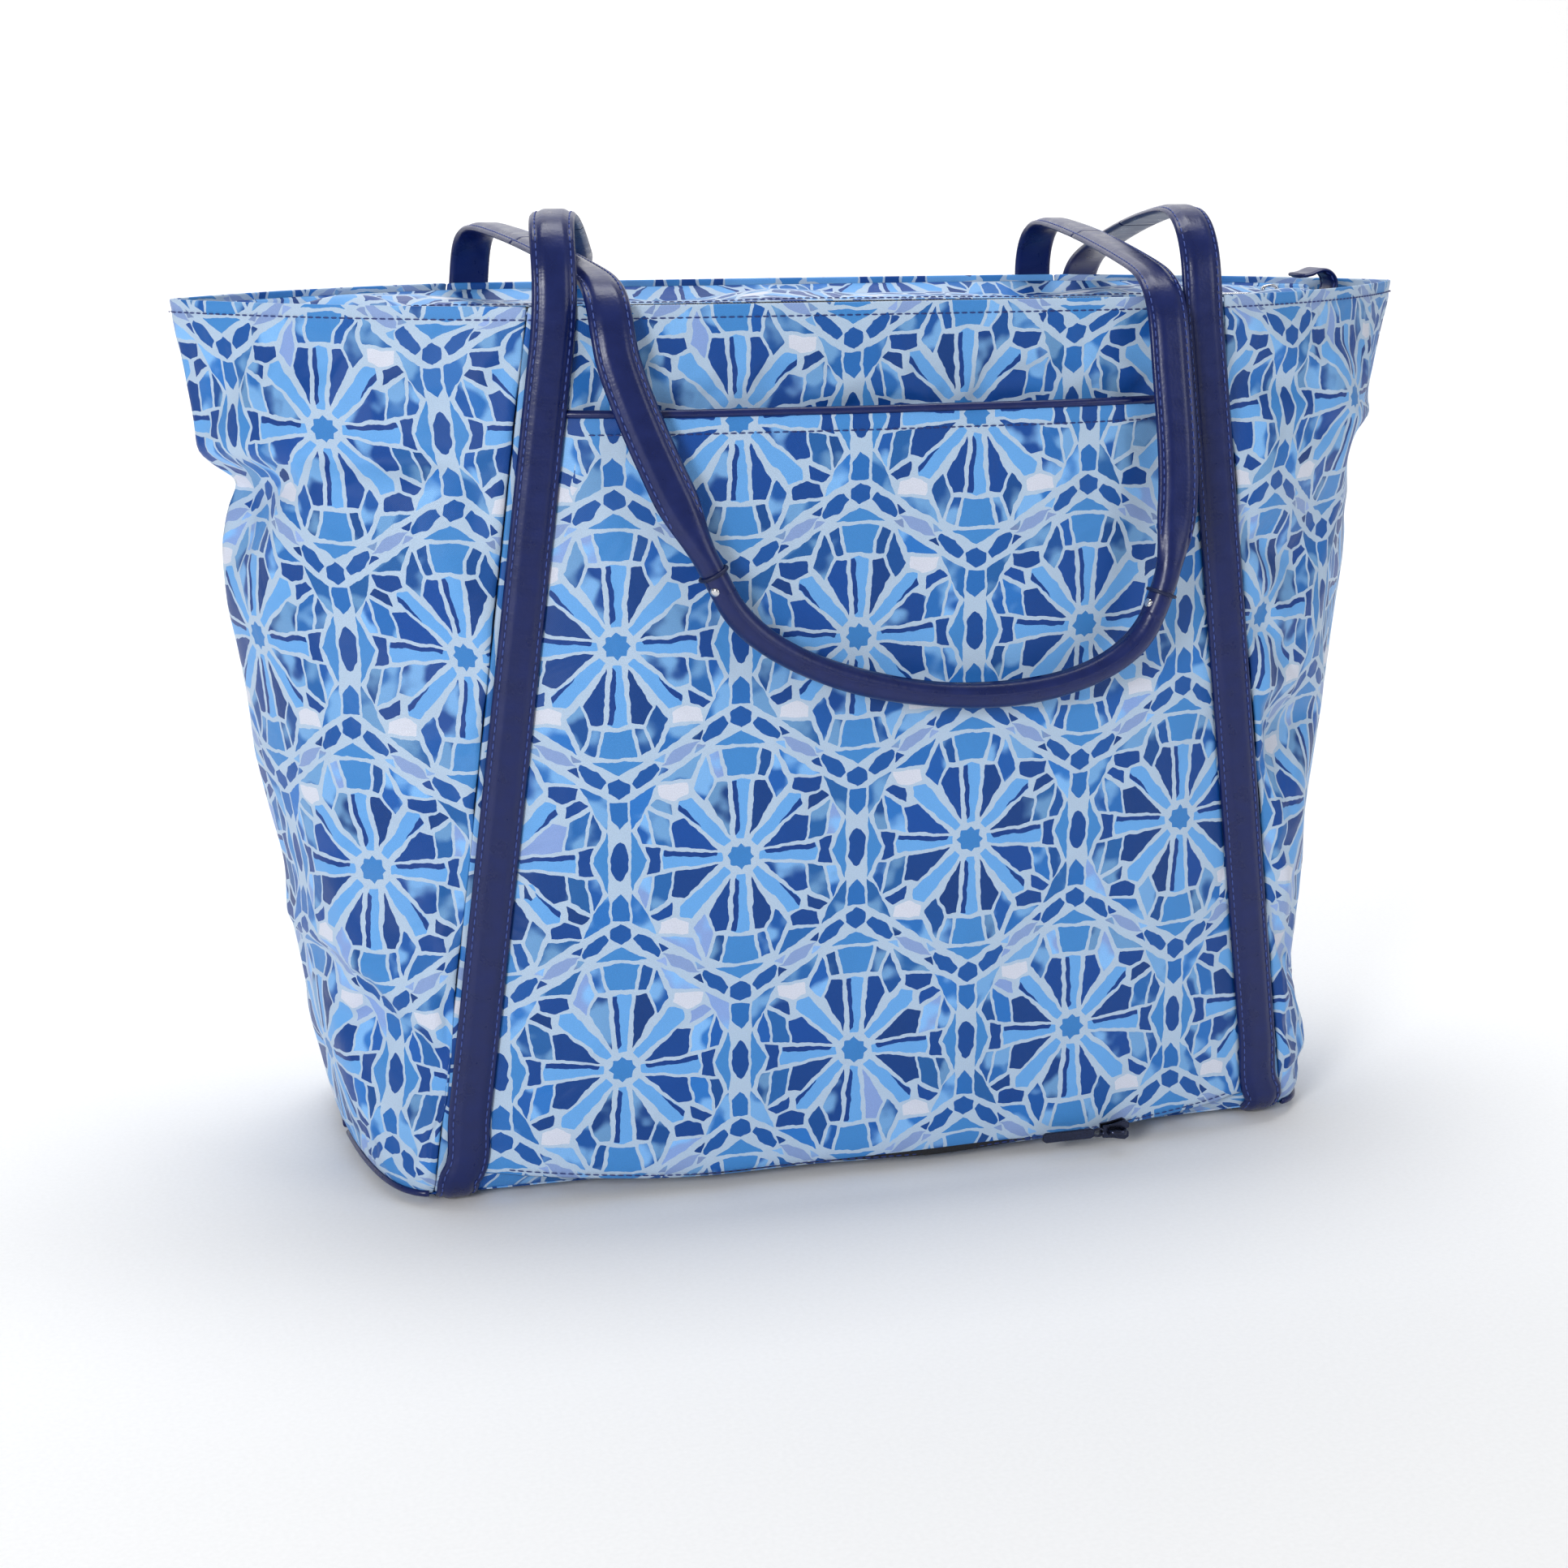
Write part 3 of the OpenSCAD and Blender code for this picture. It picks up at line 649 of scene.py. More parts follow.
def printed_cloth():
    """Coated twill with a mosaic print: painted cells, pale lines, a satin coat over a fine weave."""
    material, tree, shader = new_material("Printed coated twill")
    flat = cloth_mm(tree)
    # a hand-drawn wobble of the print's lines
    drift = add(tree, "ShaderNodeTexNoise", None, {"Vector": flat, "Scale": 0.16, "Detail": 2.0})
    wobble = vector(tree, "MULTIPLY", vector(tree, "SUBTRACT", drift.outputs["Color"], (0.5, 0.5, 0.5)),
                    (2.4, 2.4, 0.0))
    local, centre = lattice(tree, vector(tree, "ADD", flat, wobble))
    spot = vector(tree, "ADD", vector(tree, "ABSOLUTE", local), (0.0, 0.0, 1.0))
    number = cell_number(tree, spot)
    first, second = cell_chances(tree, local, centre, number)
    base = painted_shadows(tree, cell_tones(tree, number), number, local, first)
    plain = plain_cells(tree, number)
    pale = calc(tree, "MULTIPLY", plain, calc(tree, "GREATER_THAN", second, 0.96))
    base = blend_colour(tree, calc(tree, "MULTIPLY", pale, 0.8), base, colour(TONES["lilac"]))
    base = watercolour(tree, base, flat, number, plain, first, second)
    # speckle of ink over the weave
    speck = spread(tree, noise(tree, flat, 2.4, 1.0), 0.3, 0.7, 0.93, 1.06)
    base = blend_colour(tree, 1.0, base, grey(tree, speck), "MULTIPLY")
    tree.links.new(base, shader.inputs["Base Color"])
    shader.inputs["Roughness"].default_value = 0.4
    shader.inputs["IOR"].default_value = 1.45
    shader.inputs["Specular IOR Level"].default_value = 0.32
    # soft crumples a few centimetres wide, then the threads of the weave
    crumple = noise(tree, flat, 0.045, 2.5, roughness=0.5, distortion=0.6)
    under = bump(tree, shader, crumple, 3.6, 0.6)
    bump(tree, shader, weave(tree, flat, 0.34), 0.05, 0.6, under)
    return material


def leather(name, code, rough):
    """Coated leather: fine pebbled grain and a soft shine."""
    material, tree, shader = new_material(name)
    flat = cloth_mm(tree)
    broad = noise(tree, flat, 0.12, 3.0)
    tree.links.new(mottled(tree, code, broad, 0.85, 1.15), shader.inputs["Base Color"])
    rub = spread(tree, broad, 0.3, 0.7, rough - 0.05, rough + 0.06)
    tree.links.new(rub, shader.inputs["Roughness"])
    shader.inputs["IOR"].default_value = 1.5
    shader.inputs["Specular IOR Level"].default_value = 0.42
    # creases across the strap, then the grain
    creases = noise(tree, vector(tree, "MULTIPLY", flat, (0.25, 1.0, 0.0)), 0.3, 4.0)
    under = bump(tree, shader, creases, 0.25, 0.5)
    bump(tree, shader, noise(tree, flat, 0.9, 1.0, roughness=0.4), 0.1, 0.5, under)
    return material


def woven(name, code, thread, rough):
    """Plain woven cloth with a visible thread and uneven dye."""
    material, tree, shader = new_material(name)
    flat = cloth_mm(tree)
    dye = noise(tree, flat, 0.4, 4.0)
    tree.links.new(mottled(tree, code, dye, 0.8, 1.2), shader.inputs["Base Color"])
    shader.inputs["Roughness"].default_value = rough
    shader.inputs["IOR"].default_value = 1.5
    bump(tree, shader, weave(tree, flat, thread), thread * 0.3, 0.8)
    return material


def object_mm(tree):
    """Place on the object itself, in millimetres."""
    place = add(tree, "ShaderNodeTexCoord").outputs["Object"]
    return vector(tree, "MULTIPLY", place, (1000.0, 1000.0, 1000.0))


def thread_material(name, code):
    """Twisted polyester thread: soft sheen, fine ply."""
    material, tree, shader = new_material(name)
    ply = noise(tree, object_mm(tree), 3.0, 2.0)
    tree.links.new(mottled(tree, code, ply, 0.75, 1.25), shader.inputs["Base Color"])
    shader.inputs["Roughness"].default_value = 0.55
    bump(tree, shader, ply, 0.08, 0.7)
    return material


def moulded(name, code, rough):
    """Moulded nylon: even colour with a faint flow mark and a satin surface."""
    material, tree, shader = new_material(name)
    flow = noise(tree, object_mm(tree), 0.9, 3.0)
    tree.links.new(mottled(tree, code, flow, 0.85, 1.15), shader.inputs["Base Color"])
    shader.inputs["Roughness"].default_value = rough
    bump(tree, shader, flow, 0.03, 0.5)
    return material


def plated(name, code, rough):
    """Polished nickel plate with faint rub marks along its length."""
    material, tree, shader = new_material(name)
    rub = noise(tree, vector(tree, "MULTIPLY", object_mm(tree), (0.3, 2.0, 2.0)), 2.0, 4.0)
    shader.inputs["Metallic"].default_value = 1.0
    shader.inputs["Base Color"].default_value = colour(code)
    worn = spread(tree, rub, 0.3, 0.7, rough * 0.7, rough * 1.4)
    tree.links.new(worn, shader.inputs["Roughness"])
    return material


MATERIALS = {}


def finish(name):
    """The named material, made once."""
    if not MATERIALS:
        # the pattern that covers the bag, bright and a little glossy
        MATERIALS["print"] = printed_cloth()
        # deep navy with a soft highlight along each strap, and its duller painted edge
        MATERIALS["leather"] = leather("Navy coated leather", "#0a1b55", 0.3)
        MATERIALS["edge"] = leather("Painted leather edge", "#0a1740", 0.45)
        # dark cloths that keep the inside of the mouth quiet
        MATERIALS["lining"] = woven("Navy taffeta lining", "#16204a", 0.3, 0.6)
        MATERIALS["tape"] = woven("Black zip tape", "#12131b", 0.5, 0.75)
        MATERIALS["coil"] = moulded("Nylon zip coil", "#0e0f14", 0.42)
        # fine dotted lines, nearly lost on the print and lighter than the leather
        MATERIALS["hem thread"] = thread_material("Navy hem thread", "#1f3273")
        MATERIALS["strap thread"] = thread_material("Blue strap thread", "#3a4f98")
        # small bright glints on rivets and pulls; the sleeve's zip gets the same nickel plate darkened,
        # painted shade for its place tucked behind the sleeve's lower edge
        MATERIALS["metal"] = plated("Polished nickel plate", "#cfd0d4", 0.16)
        MATERIALS["dark metal"] = plated("Nickel plate darkened as shade", "#3b3f52", 0.28)
    return MATERIALS[name]


# ---------------------------------------------------------------- settings

class ToteSettings(bpy.types.PropertyGroup):
    """Sizes that shape the soft parts of the tote."""

    slack: FloatProperty(
        name="Cloth slack", description="How much larger the cloth is cut than the walls it covers",
        default=0.05, min=0.0, max=0.09)
    settle_frames: IntProperty(
        name="Settle frames", description="Frames over which the cloth settles into wrinkles",
        default=22, min=4, max=60)
    stitch_pitch: FloatProperty(
        name="Stitch pitch", description="Length of one stitch and its gap",
        default=0.0031, min=0.002, max=0.005, unit="LENGTH", subtype="DISTANCE")
    hem_stitch_drop: FloatProperty(
        name="Hem stitch drop", description="Distance of the hem's stitches below its edge",
        default=0.004, min=0.002, max=0.01, unit="LENGTH", subtype="DISTANCE")
    strap_pad: FloatProperty(
        name="Strap padding", description="How far the middle of a strap stands proud of its edges",
        default=0.0011, min=0.0, max=0.002, unit="LENGTH", subtype="DISTANCE")
    sleeve_droop: FloatProperty(
        name="Sleeve droop", description="How far the sleeve's lower hem sags in the middle",
        default=0.009, min=0.0, max=0.02, unit="LENGTH", subtype="DISTANCE")


class StageSettings(bpy.types.PropertyGroup):
    """Light and camera around the tote."""

    key_power: FloatProperty(
        name="Key light", description="Power of the light on the viewer's left",
        default=31.0, min=1.0, max=200.0, unit="POWER")
    fill_power: FloatProperty(
        name="Fill light", description="Power of the light on the viewer's right",
        default=8.0, min=1.0, max=200.0, unit="POWER")
    paper_power: FloatProperty(
        name="Paper light", description="Power of the light that falls only on the paper behind the tote",
        default=45.0, min=0.0, max=300.0, unit="POWER")
    sky: FloatProperty(
        name="Sky", description="Strength of the even light from all round",
        default=0.36, min=0.0, max=3.0)


def settings():
    """The tote's settings on the scene."""
    return bpy.context.scene.tote_settings


# ---------------------------------------------------------------- cloth shell

# Columns of the front half of the shell, and a quarter of the steps between them.
SHARES = 121
QUARTER = (SHARES - 1) // 4
# How far the corners of the right end are drawn in.
RIGHT_TUCK = 12.0
# How far the ends may swell freely, the share of more that is kept, and the most the cloth may move.
FREE_SWELL = 1.5
SWELL_KEPT = 0.15
MOST_SHIFT = 8.0
SHELL = {}


def shell_levels():
    """Heights of the rows of the shell, closer together under the hem and at the foot."""
    low_rows = np.linspace(Shape.floor_z, Shape.foot, 5)[:-1]
    middle = np.linspace(Shape.foot, Shape.hem - 9.0, 70)
    top = Shape.hem - np.array([6.5, 4.6, 3.4, 2.2, 0.9, 0.0])
    return np.concatenate([low_rows, middle, top])


def rest_shell():
    """Closed rows of points round the bag: the front from left to right, then the back."""
    levels = shell_levels()
    shares = np.linspace(-1, 1, SHARES)
    grid = np.empty((len(levels), 2 * SHARES - 2, 3))
    for r, z in enumerate(levels):
        for c, u in enumerate(shares):
            p = outline(u, z)
            p[0] -= math.copysign(pinch(z) * smooth((abs(u) - 0.75) / 0.25), u)
            grid[r, c] = (p[0], p[1], z)
            if 0 < c < SHARES - 1:
                grid[r, 2 * SHARES - 2 - c] = (p[0], -p[1], z)
    return levels, shares, grid


def hold_weights(levels, shares, count):
    """How firmly each point of the shell is held while the cloth settles."""
    held = np.zeros((len(levels), count))
    for r, z in enumerate(levels):
        top = smooth((z - (Shape.hem - 34)) / 26)
        bottom = smooth((Shape.foot + 4 - z) / 10)
        for c in range(count):
            share = shares[c] if c < SHARES else shares[2 * SHARES - 2 - c]
            x = abs(outline(share, z)[0])
            on_strap = 1.0 - smooth((abs(x - strap_x(z)) - Shape.strap_half - 1.0) / 4.0)
            tight_top = top * (0.75 if abs(share) > 0.5 else 1.0)
            middle = 0.3 if abs(share) < 0.42 else 0.0
            held[r, c] = max(tight_top if z < Shape.hem - 8 else 1.0, bottom, on_strap, middle)
    return np.clip(held, 0, 1)


def settle(grid, held):
    """Lets the cloth of the shell buckle between the places where it is held."""
    rows, cols = grid.shape[:2]
    points = grid.reshape(-1, 3)
    nudge = np.random.default_rng(7)
    waves = np.zeros(len(points))
    for _ in range(26):
        way = nudge.normal(size=3)
        way = way / np.linalg.norm(way) * nudge.uniform(0.03, 0.12)
        waves += np.sin(points @ way + nudge.uniform(0, 6.28))
    out = np.sign(points[:, 1:2]) * np.array([[0, 1.0, 0]])
    start = points + out * (waves[:, None] * 0.22 * (1 - held.reshape(-1, 1)))
    obj = mesh_object("settling cloth", start, grid_faces(rows, cols, closed=True))
    group = obj.vertex_groups.new(name="held")
    for i, w in enumerate(held.reshape(-1)):
        if w > 0.001:
            group.add([i], float(w), "REPLACE")
    cloth = obj.modifiers.new("cloth", "CLOTH")
    cloth.settings.quality = 6
    cloth.settings.mass = 0.15
    cloth.settings.tension_stiffness = 12
    cloth.settings.compression_stiffness = 12
    cloth.settings.shear_stiffness = 6
    cloth.settings.bending_stiffness = 0.35
    cloth.settings.air_damping = 4
    cloth.settings.vertex_group_mass = "held"
    cloth.settings.pin_stiffness = 1.0
    cloth.settings.shrink_min = -settings().slack
    cloth.settings.effector_weights.gravity = 0.0
    cloth.settings.use_pressure = True
    cloth.settings.uniform_pressure_force = 0.6
    cloth.collision_settings.use_collision = False
    scene = bpy.context.scene
    last = settings().settle_frames
    cloth.point_cache.frame_start = 1
    cloth.point_cache.frame_end = last
    first_frame = scene.frame_current
    for f in range(1, last + 1):
        scene.frame_set(f)
    done = obj.evaluated_get(bpy.context.evaluated_depsgraph_get()).to_mesh()
    co = np.empty(len(done.vertices) * 3)
    done.vertices.foreach_get("co", co)
    bpy.data.objects.remove(obj, do_unlink=True)
    scene.frame_set(first_frame)
    return co.reshape(grid.shape) / MM


def tuck_right_end(levels, shares, grid):
    """Draws in the corners of the right end, which lies flatter than the left one."""
    tall = RIGHT_TUCK * smooth((levels - 18) / 50) * smooth((300 - levels) / 80)
    for c, share in enumerate(shares):
        if share > 0.5:
            inward = tall * math.sin(math.pi * (share - 0.5) / 0.5)
            for column in {c, (2 * SHARES - 2 - c) % grid.shape[1]}:
                grid[:, column, 0] -= inward


def shell():
    """The settled shell, made once: heights, outline shares and points."""
    if not SHELL:
        levels, shares, grid = rest_shell()
        held = hold_weights(levels, shares, grid.shape[1])
        moved = settle(grid, held)
        if not np.isfinite(moved).all():
            raise RuntimeError("the cloth did not settle")
        shift = moved - grid
        outward = np.sign(grid[:, :, 0]) * shift[:, :, 0]
        swell = np.maximum(outward - FREE_SWELL, 0) * (abs(grid[:, :, 0]) > Shape.strap_base + 6)
        shift[:, :, 0] -= np.sign(grid[:, :, 0]) * swell * (1 - SWELL_KEPT)
        far = np.linalg.norm(shift, axis=2, keepdims=True)
        grid = grid + shift * np.minimum(1.0, MOST_SHIFT / np.maximum(far, 1e-6))
        tuck_right_end(levels, shares, grid)
        SHELL.update(levels=levels, shares=shares, grid=grid)
    return SHELL["levels"], SHELL["shares"], SHELL["grid"]


def shell_part(name, start, stop, hand, origin):
    """A piece of the shell between two column numbers, as a sheet with its flat cloth map."""
    levels, _, grid = shell()
    cols = np.arange(start, stop + 1) % grid.shape[1]
    part = grid[:, cols].copy()
    run = row_lengths(part)
    across = (run - run[:, -1:] / 2) * hand + origin[0]
    uv = np.stack([across, np.repeat(levels[:, None], len(cols), 1) + origin[1]], axis=2)
    for r, z in enumerate(levels):
        below = Shape.hem - z
        if below < 9:
            fold = 0.7 * smooth((9 - below) / 1.5) - 0.35 * math.exp(-(((below - 4.0) / 0.9) ** 2))
            part[r] += edge_normals(part[r]) * fold
    obj = grid_sheet(name, part, uv, "print", flip=True)
    return thicken(obj, Shape.cloth), part


def edge_normals(line):
    """Level outward directions along a row of the shell."""
    t = tangents(line)
    n = np.stack([-t[:, 1], t[:, 0], np.zeros(len(t))], axis=1)
    return n / np.maximum(np.linalg.norm(n, axis=1, keepdims=True), 1e-9)


def fold_with(obj):
    """Ties the piece to the bag's body and gives it a mesh of its own."""
    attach(obj, "bag")
    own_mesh(obj)
    return obj


def hem_stitches(name, part):
    """Stitches along the hem of a piece of the shell."""
    levels = shell()[0]
    drop = settings().hem_stitch_drop / MM
    row = int(np.argmin(abs(levels - (Shape.hem - drop))))
    line = part[row]
    path = resample(line + edge_normals(line) * 0.15, 3.0)
    return stitch_row(name, path, edge_normals(path), "hem thread")


def lay_out(obj, body=None, folds=0.0, stands_for=()):
    """Ties a piece to the body it moves with, or to the bag's body when folds is set, and hides the CAD nodes
    it stands for.
    """
    if folds:
        fold_with(obj)
    elif body:
        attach(obj, body)
    if stands_for:
        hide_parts(*stands_for)
    return obj


# Place of a rosette's centre on the back, which the sleeve's print continues.
SLEEVE_PRINT = (14.5, -210.5)
# Height of a rosette's centre on the ends, and its distance from the seam on the left one.
END_ROSETTE_Z = 207.0
END_ROSETTE_IN = 9.5


def build_shell():
    """Makes the four cloth pieces of the walls, with their hem stitches."""
    for where, start, hand, origin, body in (
            ("back", 5 * QUARTER, -1, SLEEVE_PRINT, "bag"),
            ("front", QUARTER, 1, (30.0, -250.0), "front")):
        cloth, part = shell_part(where + " cloth", start, start + 2 * QUARTER, hand, origin)
        row = hem_stitches(where + " hem stitches", part)
        lay_out(row, body)
        lay_out(cloth, body, stands_for=[where + "_panel"])
    levels, _, grid = shell()
    print_row = int(np.argmin(abs(levels - END_ROSETTE_Z)))
    for where, start in (("right", 3 * QUARTER), ("left", 7 * QUARTER)):
        cols = np.arange(start, start + 2 * QUARTER + 1) % grid.shape[1]
        half = row_lengths(grid[:, cols])[print_row, -1] / 2
        shift = END_ROSETTE_IN - half if where == "left" else 20.0
        origin = (shift, -END_ROSETTE_Z)
        cloth, part = shell_part(where + " end cloth", start, start + 2 * QUARTER, -1, origin)
        row = hem_stitches(where + " end hem stitches", part)
        lay_out(row, folds=1.0)
        lay_out(cloth, folds=1.0, stands_for=[f"side_back_{where}", f"side_front_{where}"])


# ---------------------------------------------------------------- mouth: facings and top zip

# How much wider the zip gapes in the middle, the width of its teeth, and the share of the hem's
# half that a facing spans.
ZIP_GAPE = 18.0
TEETH_WIDE = 2.4
FACING_SPAN = 0.885


def zip_gap(x):
    """Half the gap between the rows of teeth at the place x."""
    share = max(0.0, 1 - (x / Shape.zip_reach) ** 2) ** 0.8
    return Shape.teeth_y + ZIP_GAPE * share


def facing_grid(side):
    """Points of one facing, from the hem down and inward to the zip tape."""
    levels, shares, grid = shell()
    around = grid[int(np.argmin(abs(levels - (Shape.hem - 2.2))))]
    if side > 0:
        rim = around[:SHARES]
    else:
        rim = around[[0] + list(range(2 * SHARES - 3, SHARES - 1, -1)) + [SHARES - 1]]
    inward = np.array([0, -side, 0.0])
    lanes = 12
    keep = [c for c in range(SHARES) if abs(shares[c]) <= FACING_SPAN]
    out = np.empty((lanes + 1, len(keep), 3))
    for i, c in enumerate(keep):
        nearer = math.copysign(1.0, rim[c][0]) * smooth(abs(shares[c]) - 0.5) * 2.0
        start = rim[c] + inward * 1.5 - (nearer, 0, 0)
        x = np.clip(shares[c] / FACING_SPAN, -1, 1) * (Shape.zip_reach + 1)
        stop = np.array([x, side * (zip_gap(x) + TEETH_WIDE + 2.2), Shape.zip_z + 0.3])
        # small ripples, with a fuller puff where the cloth bunches up at each end
        puff = -1.2 + 1.6 * math.sin(x / 23.0 + side) + 1.1 * math.sin(x / 11.0 + 2 * side)
        puff += 8.0 * math.exp(-(((x + 172) / 24) ** 2)) * (1 if side < 0 else 0.5)
        puff += 3.0 * math.exp(-(((x - 168) / 22) ** 2))
        # the cloth dips before it rises to the zip, more so towards the ends
        dip = 4.0 + 8.0 * float(smooth((abs(x) - 120) / 50))
        for j in range(lanes + 1):
            s = j / lanes
            p = mix(start, stop, s)
            p[2] += puff * math.sin(math.pi * s) - dip * math.exp(-((s / 0.16 - 1.0) ** 2)) * min(1, s * 9)
            out[j, i] = p
    return out


def build_facings():
    """Makes the two printed facings that run from the hem to the zip tapes."""
    for side, where in ((1, "front"), (-1, "back")):
        grid = facing_grid(side)
        run = row_lengths(grid)
        across = run - run[:, -1:] / 2
        down = row_lengths(grid.transpose(1, 0, 2)).T
        uv = np.stack([across + 33.0, down + 12.0 * side], axis=2)
        obj = grid_sheet(where + " facing", grid, uv, "print", flip=side > 0)
        thicken(obj, 0.8)
        edge = resample(grid[-2] * 0.55 + grid[-1] * 0.45, 3.0)
        up = np.tile([0, 0, 1.0], (len(edge), 1))
        row = stitch_row(where + " facing stitches", edge + up * 0.25, up, "hem thread")
        lay_out(row, folds=1.0)
        lay_out(obj, folds=1.0, stands_for=["facing_" + where])


def zip_path(side, inset, z, count=161):
    """A line that follows one row of teeth, moved outward by inset."""
    xs = np.linspace(-Shape.zip_reach, Shape.zip_reach, count)
    return np.array([[x, side * (zip_gap(x) + inset), z] for x in xs])


def coil(name, path, radius_side, radius_up, wire, pitch=1.4):
    """A continuous nylon coil wound along a path."""
    length = running(path)
    turns = int(length[-1] / pitch)
    steps = 10
    line = []
    side = frames(path, (0, 1, 0))[1]
    for i in range(turns * steps + 1):
        s = i / steps * length[-1] / turns
        c = np.array([np.interp(s, length, path[:, k]) for k in range(3)])
        d = np.array([np.interp(s, length, side[:, k]) for k in range(3)])
        angle = 2 * math.pi * i / steps
        line.append(c + d * radius_side * math.cos(angle) + np.array([0, 0, 1]) * radius_up * math.sin(angle))
    ring = circle(wire, 5)
    return sweep(name, np.array(line), (0.3, 0.1, 1.0), lambda share, arc: ring, "coil")


def build_top_zip():
    """Makes the top zip's tapes and coils."""
    for side, where in ((1, "front"), (-1, "back")):
        inner = zip_path(side, 1.6, Shape.zip_z - 1.1)
        outer = zip_path(side, TEETH_WIDE + 8.0, Shape.zip_z - 0.9)
        lanes = 5
        grid = np.stack([mix(inner, outer, k) for k in np.linspace(0, 1, lanes)])
        run = row_lengths(grid)
        wide = np.linspace(0, 9, lanes)[:, None] + run * 0
        obj = grid_sheet(where + " zip tape", grid, np.stack([run, wide], axis=2), "tape", flip=side < 0)
        thicken(obj, 0.6)
        lay_out(obj, folds=1.0, stands_for=["zip_tape_" + where])
        teeth = coil(where + " zip coil", zip_path(side, TEETH_WIDE / 2, Shape.zip_z - 1.0), 1.15, 0.8, 0.38)
        lay_out(teeth, folds=1.0, stands_for=["zip_teeth_" + where])


def soften(obj, bevel):
    """Rounds the edges of a hard piece."""
    edges = obj.modifiers.new("edges", "BEVEL")
    edges.width = bevel * MM
    edges.segments = 3
    return obj


def rounded_box(name, lo, hi, bevel, material):
    """A box with rounded edges, in millimetres."""
    lo = np.asarray(lo, float)
    hi = np.asarray(hi, float)
    corners = [[x, y, z] for x in (lo[0], hi[0]) for y in (lo[1], hi[1]) for z in (lo[2], hi[2])]
    faces = [[0, 1, 3, 2], [4, 6, 7, 5], [0, 4, 5, 1], [2, 3, 7, 6], [0, 2, 6, 4], [1, 5, 7, 3]]
    return soften(mesh_object(name, corners, faces, None, [finish(material)]), bevel)


def plate(name, outline_points, low_z, high_z, bevel, material):
    """A flat plate cut to an outline, with rounded edges."""
    points = [(x, y, low_z) for x, y in outline_points] + [(x, y, high_z) for x, y in outline_points]
    n = len(outline_points)
    faces = [[i, (i + 1) % n, n + (i + 1) % n, n + i] for i in range(n)]
    faces.append([n - 1 - i for i in range(n)])
    faces.append([n + i for i in range(n)])
    obj = mesh_object(name, points, faces, None, [finish(material)])
    obj.data.polygons.foreach_set("use_smooth", [False] * len(obj.data.polygons))
    return soften(obj, bevel)


def ring_wire(name, centre, right, up, half_wide, half_tall, wire, material):
    """A closed loop of round wire, an oval in the plane of right and up."""
    right, up = np.asarray(right, float), np.asarray(up, float)
    points = []
    turns = 28
    sides = 10
    normal = np.cross(right, up)
    for i in range(turns):
        a = 2 * math.pi * i / turns
        out = right * math.cos(a) + up * math.sin(a)
        c = np.asarray(centre) + right * math.cos(a) * half_wide + up * math.sin(a) * half_tall
        for k in range(sides):
            b = 2 * math.pi * k / sides
            points.append(c + out * math.cos(b) * wire + normal * math.sin(b) * wire)
    faces = []
    for i in range(turns):
        for k in range(sides):
            m = (k + 1) % sides
            j = (i + 1) % turns
            faces.append([i * sides + k, j * sides + k, j * sides + m, i * sides + m])
    return mesh_object(name, points, faces, None, [finish(material)])


def slider_pieces(label, size, metal):
    """A zip slider's body and bridge, drawn flat at the origin."""
    length, width, tall = size
    h = length / 2
    w = width / 2
    side = [(-h, -w * 0.62), (-h * 0.3, -w * 0.7), (h * 0.7, -w), (h, -w * 0.75), (h, -w * 0.2)]
    body = side + [(h * 0.55, 0)] + [(x, -y) for x, y in reversed(side)]
    top = plate(label + " slider top", body, 0.1, 1.1, 0.35, metal)
    under = plate(label + " slider under", body, -2.9, -2.1, 0.3, metal)
    post = rounded_box(label + " slider post", (h * 0.45, -0.5, -2.2), (h * 0.8, 0.5, 0.3), 0.15, metal)
    arch = [(-h * 0.55, 1.0), (-h * 0.5, tall * 0.72), (-h * 0.2, tall - 0.7), (h * 0.35, tall - 0.7),
            (h * 0.55, tall * 0.7), (h * 0.6, 1.0)]
    line = resample(np.array([[x, 0, z] for x, z in arch]), 0.6)
    ring = [(1.0, -0.4), (1.1, 0.0), (1.0, 0.4), (0, 0.5), (-1.0, 0.4), (-1.1, 0.0), (-1.0, -0.4), (0, -0.5)]
    bridge = sweep(label + " slider bridge", line, (0, 1, 0), lambda share, arc: ring, metal)
    return [top, under, post, bridge]


def pull_pieces(label, size, metal):
    """A slim bar pull with a ring at its root, drawn flat along -X from the origin."""
    length, wide, thick = size
    root = 3.2
    side = [(-root, -wide * 0.32), (-root - 1.5, -wide / 2)]
    side += [(-length + 1.2, -wide / 2), (-length, -wide * 0.3)]
    bar = side + [(x, -y) for x, y in reversed(side)]
    slab = plate(label + " pull bar", bar, -thick / 2, thick / 2, 0.4, metal)
    loop = ring_wire(label + " pull ring", (-root * 0.45, 0, 0), (1, 0, 0), (0, 1, 0),
                     root * 0.75, wide * 0.36, 0.5, metal)
    return [slab, loop]


def place_flat(pieces, seat, turn, node):
    """Turns pieces drawn at the origin into place and ties them to the node's body."""
    matrix = Matrix.Translation(Vector([v * MM for v in seat])) @ turn
    for obj in pieces:
        obj.data.transform(matrix)
        obj.data.update()
        lay_out(obj, node)
    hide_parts(node)


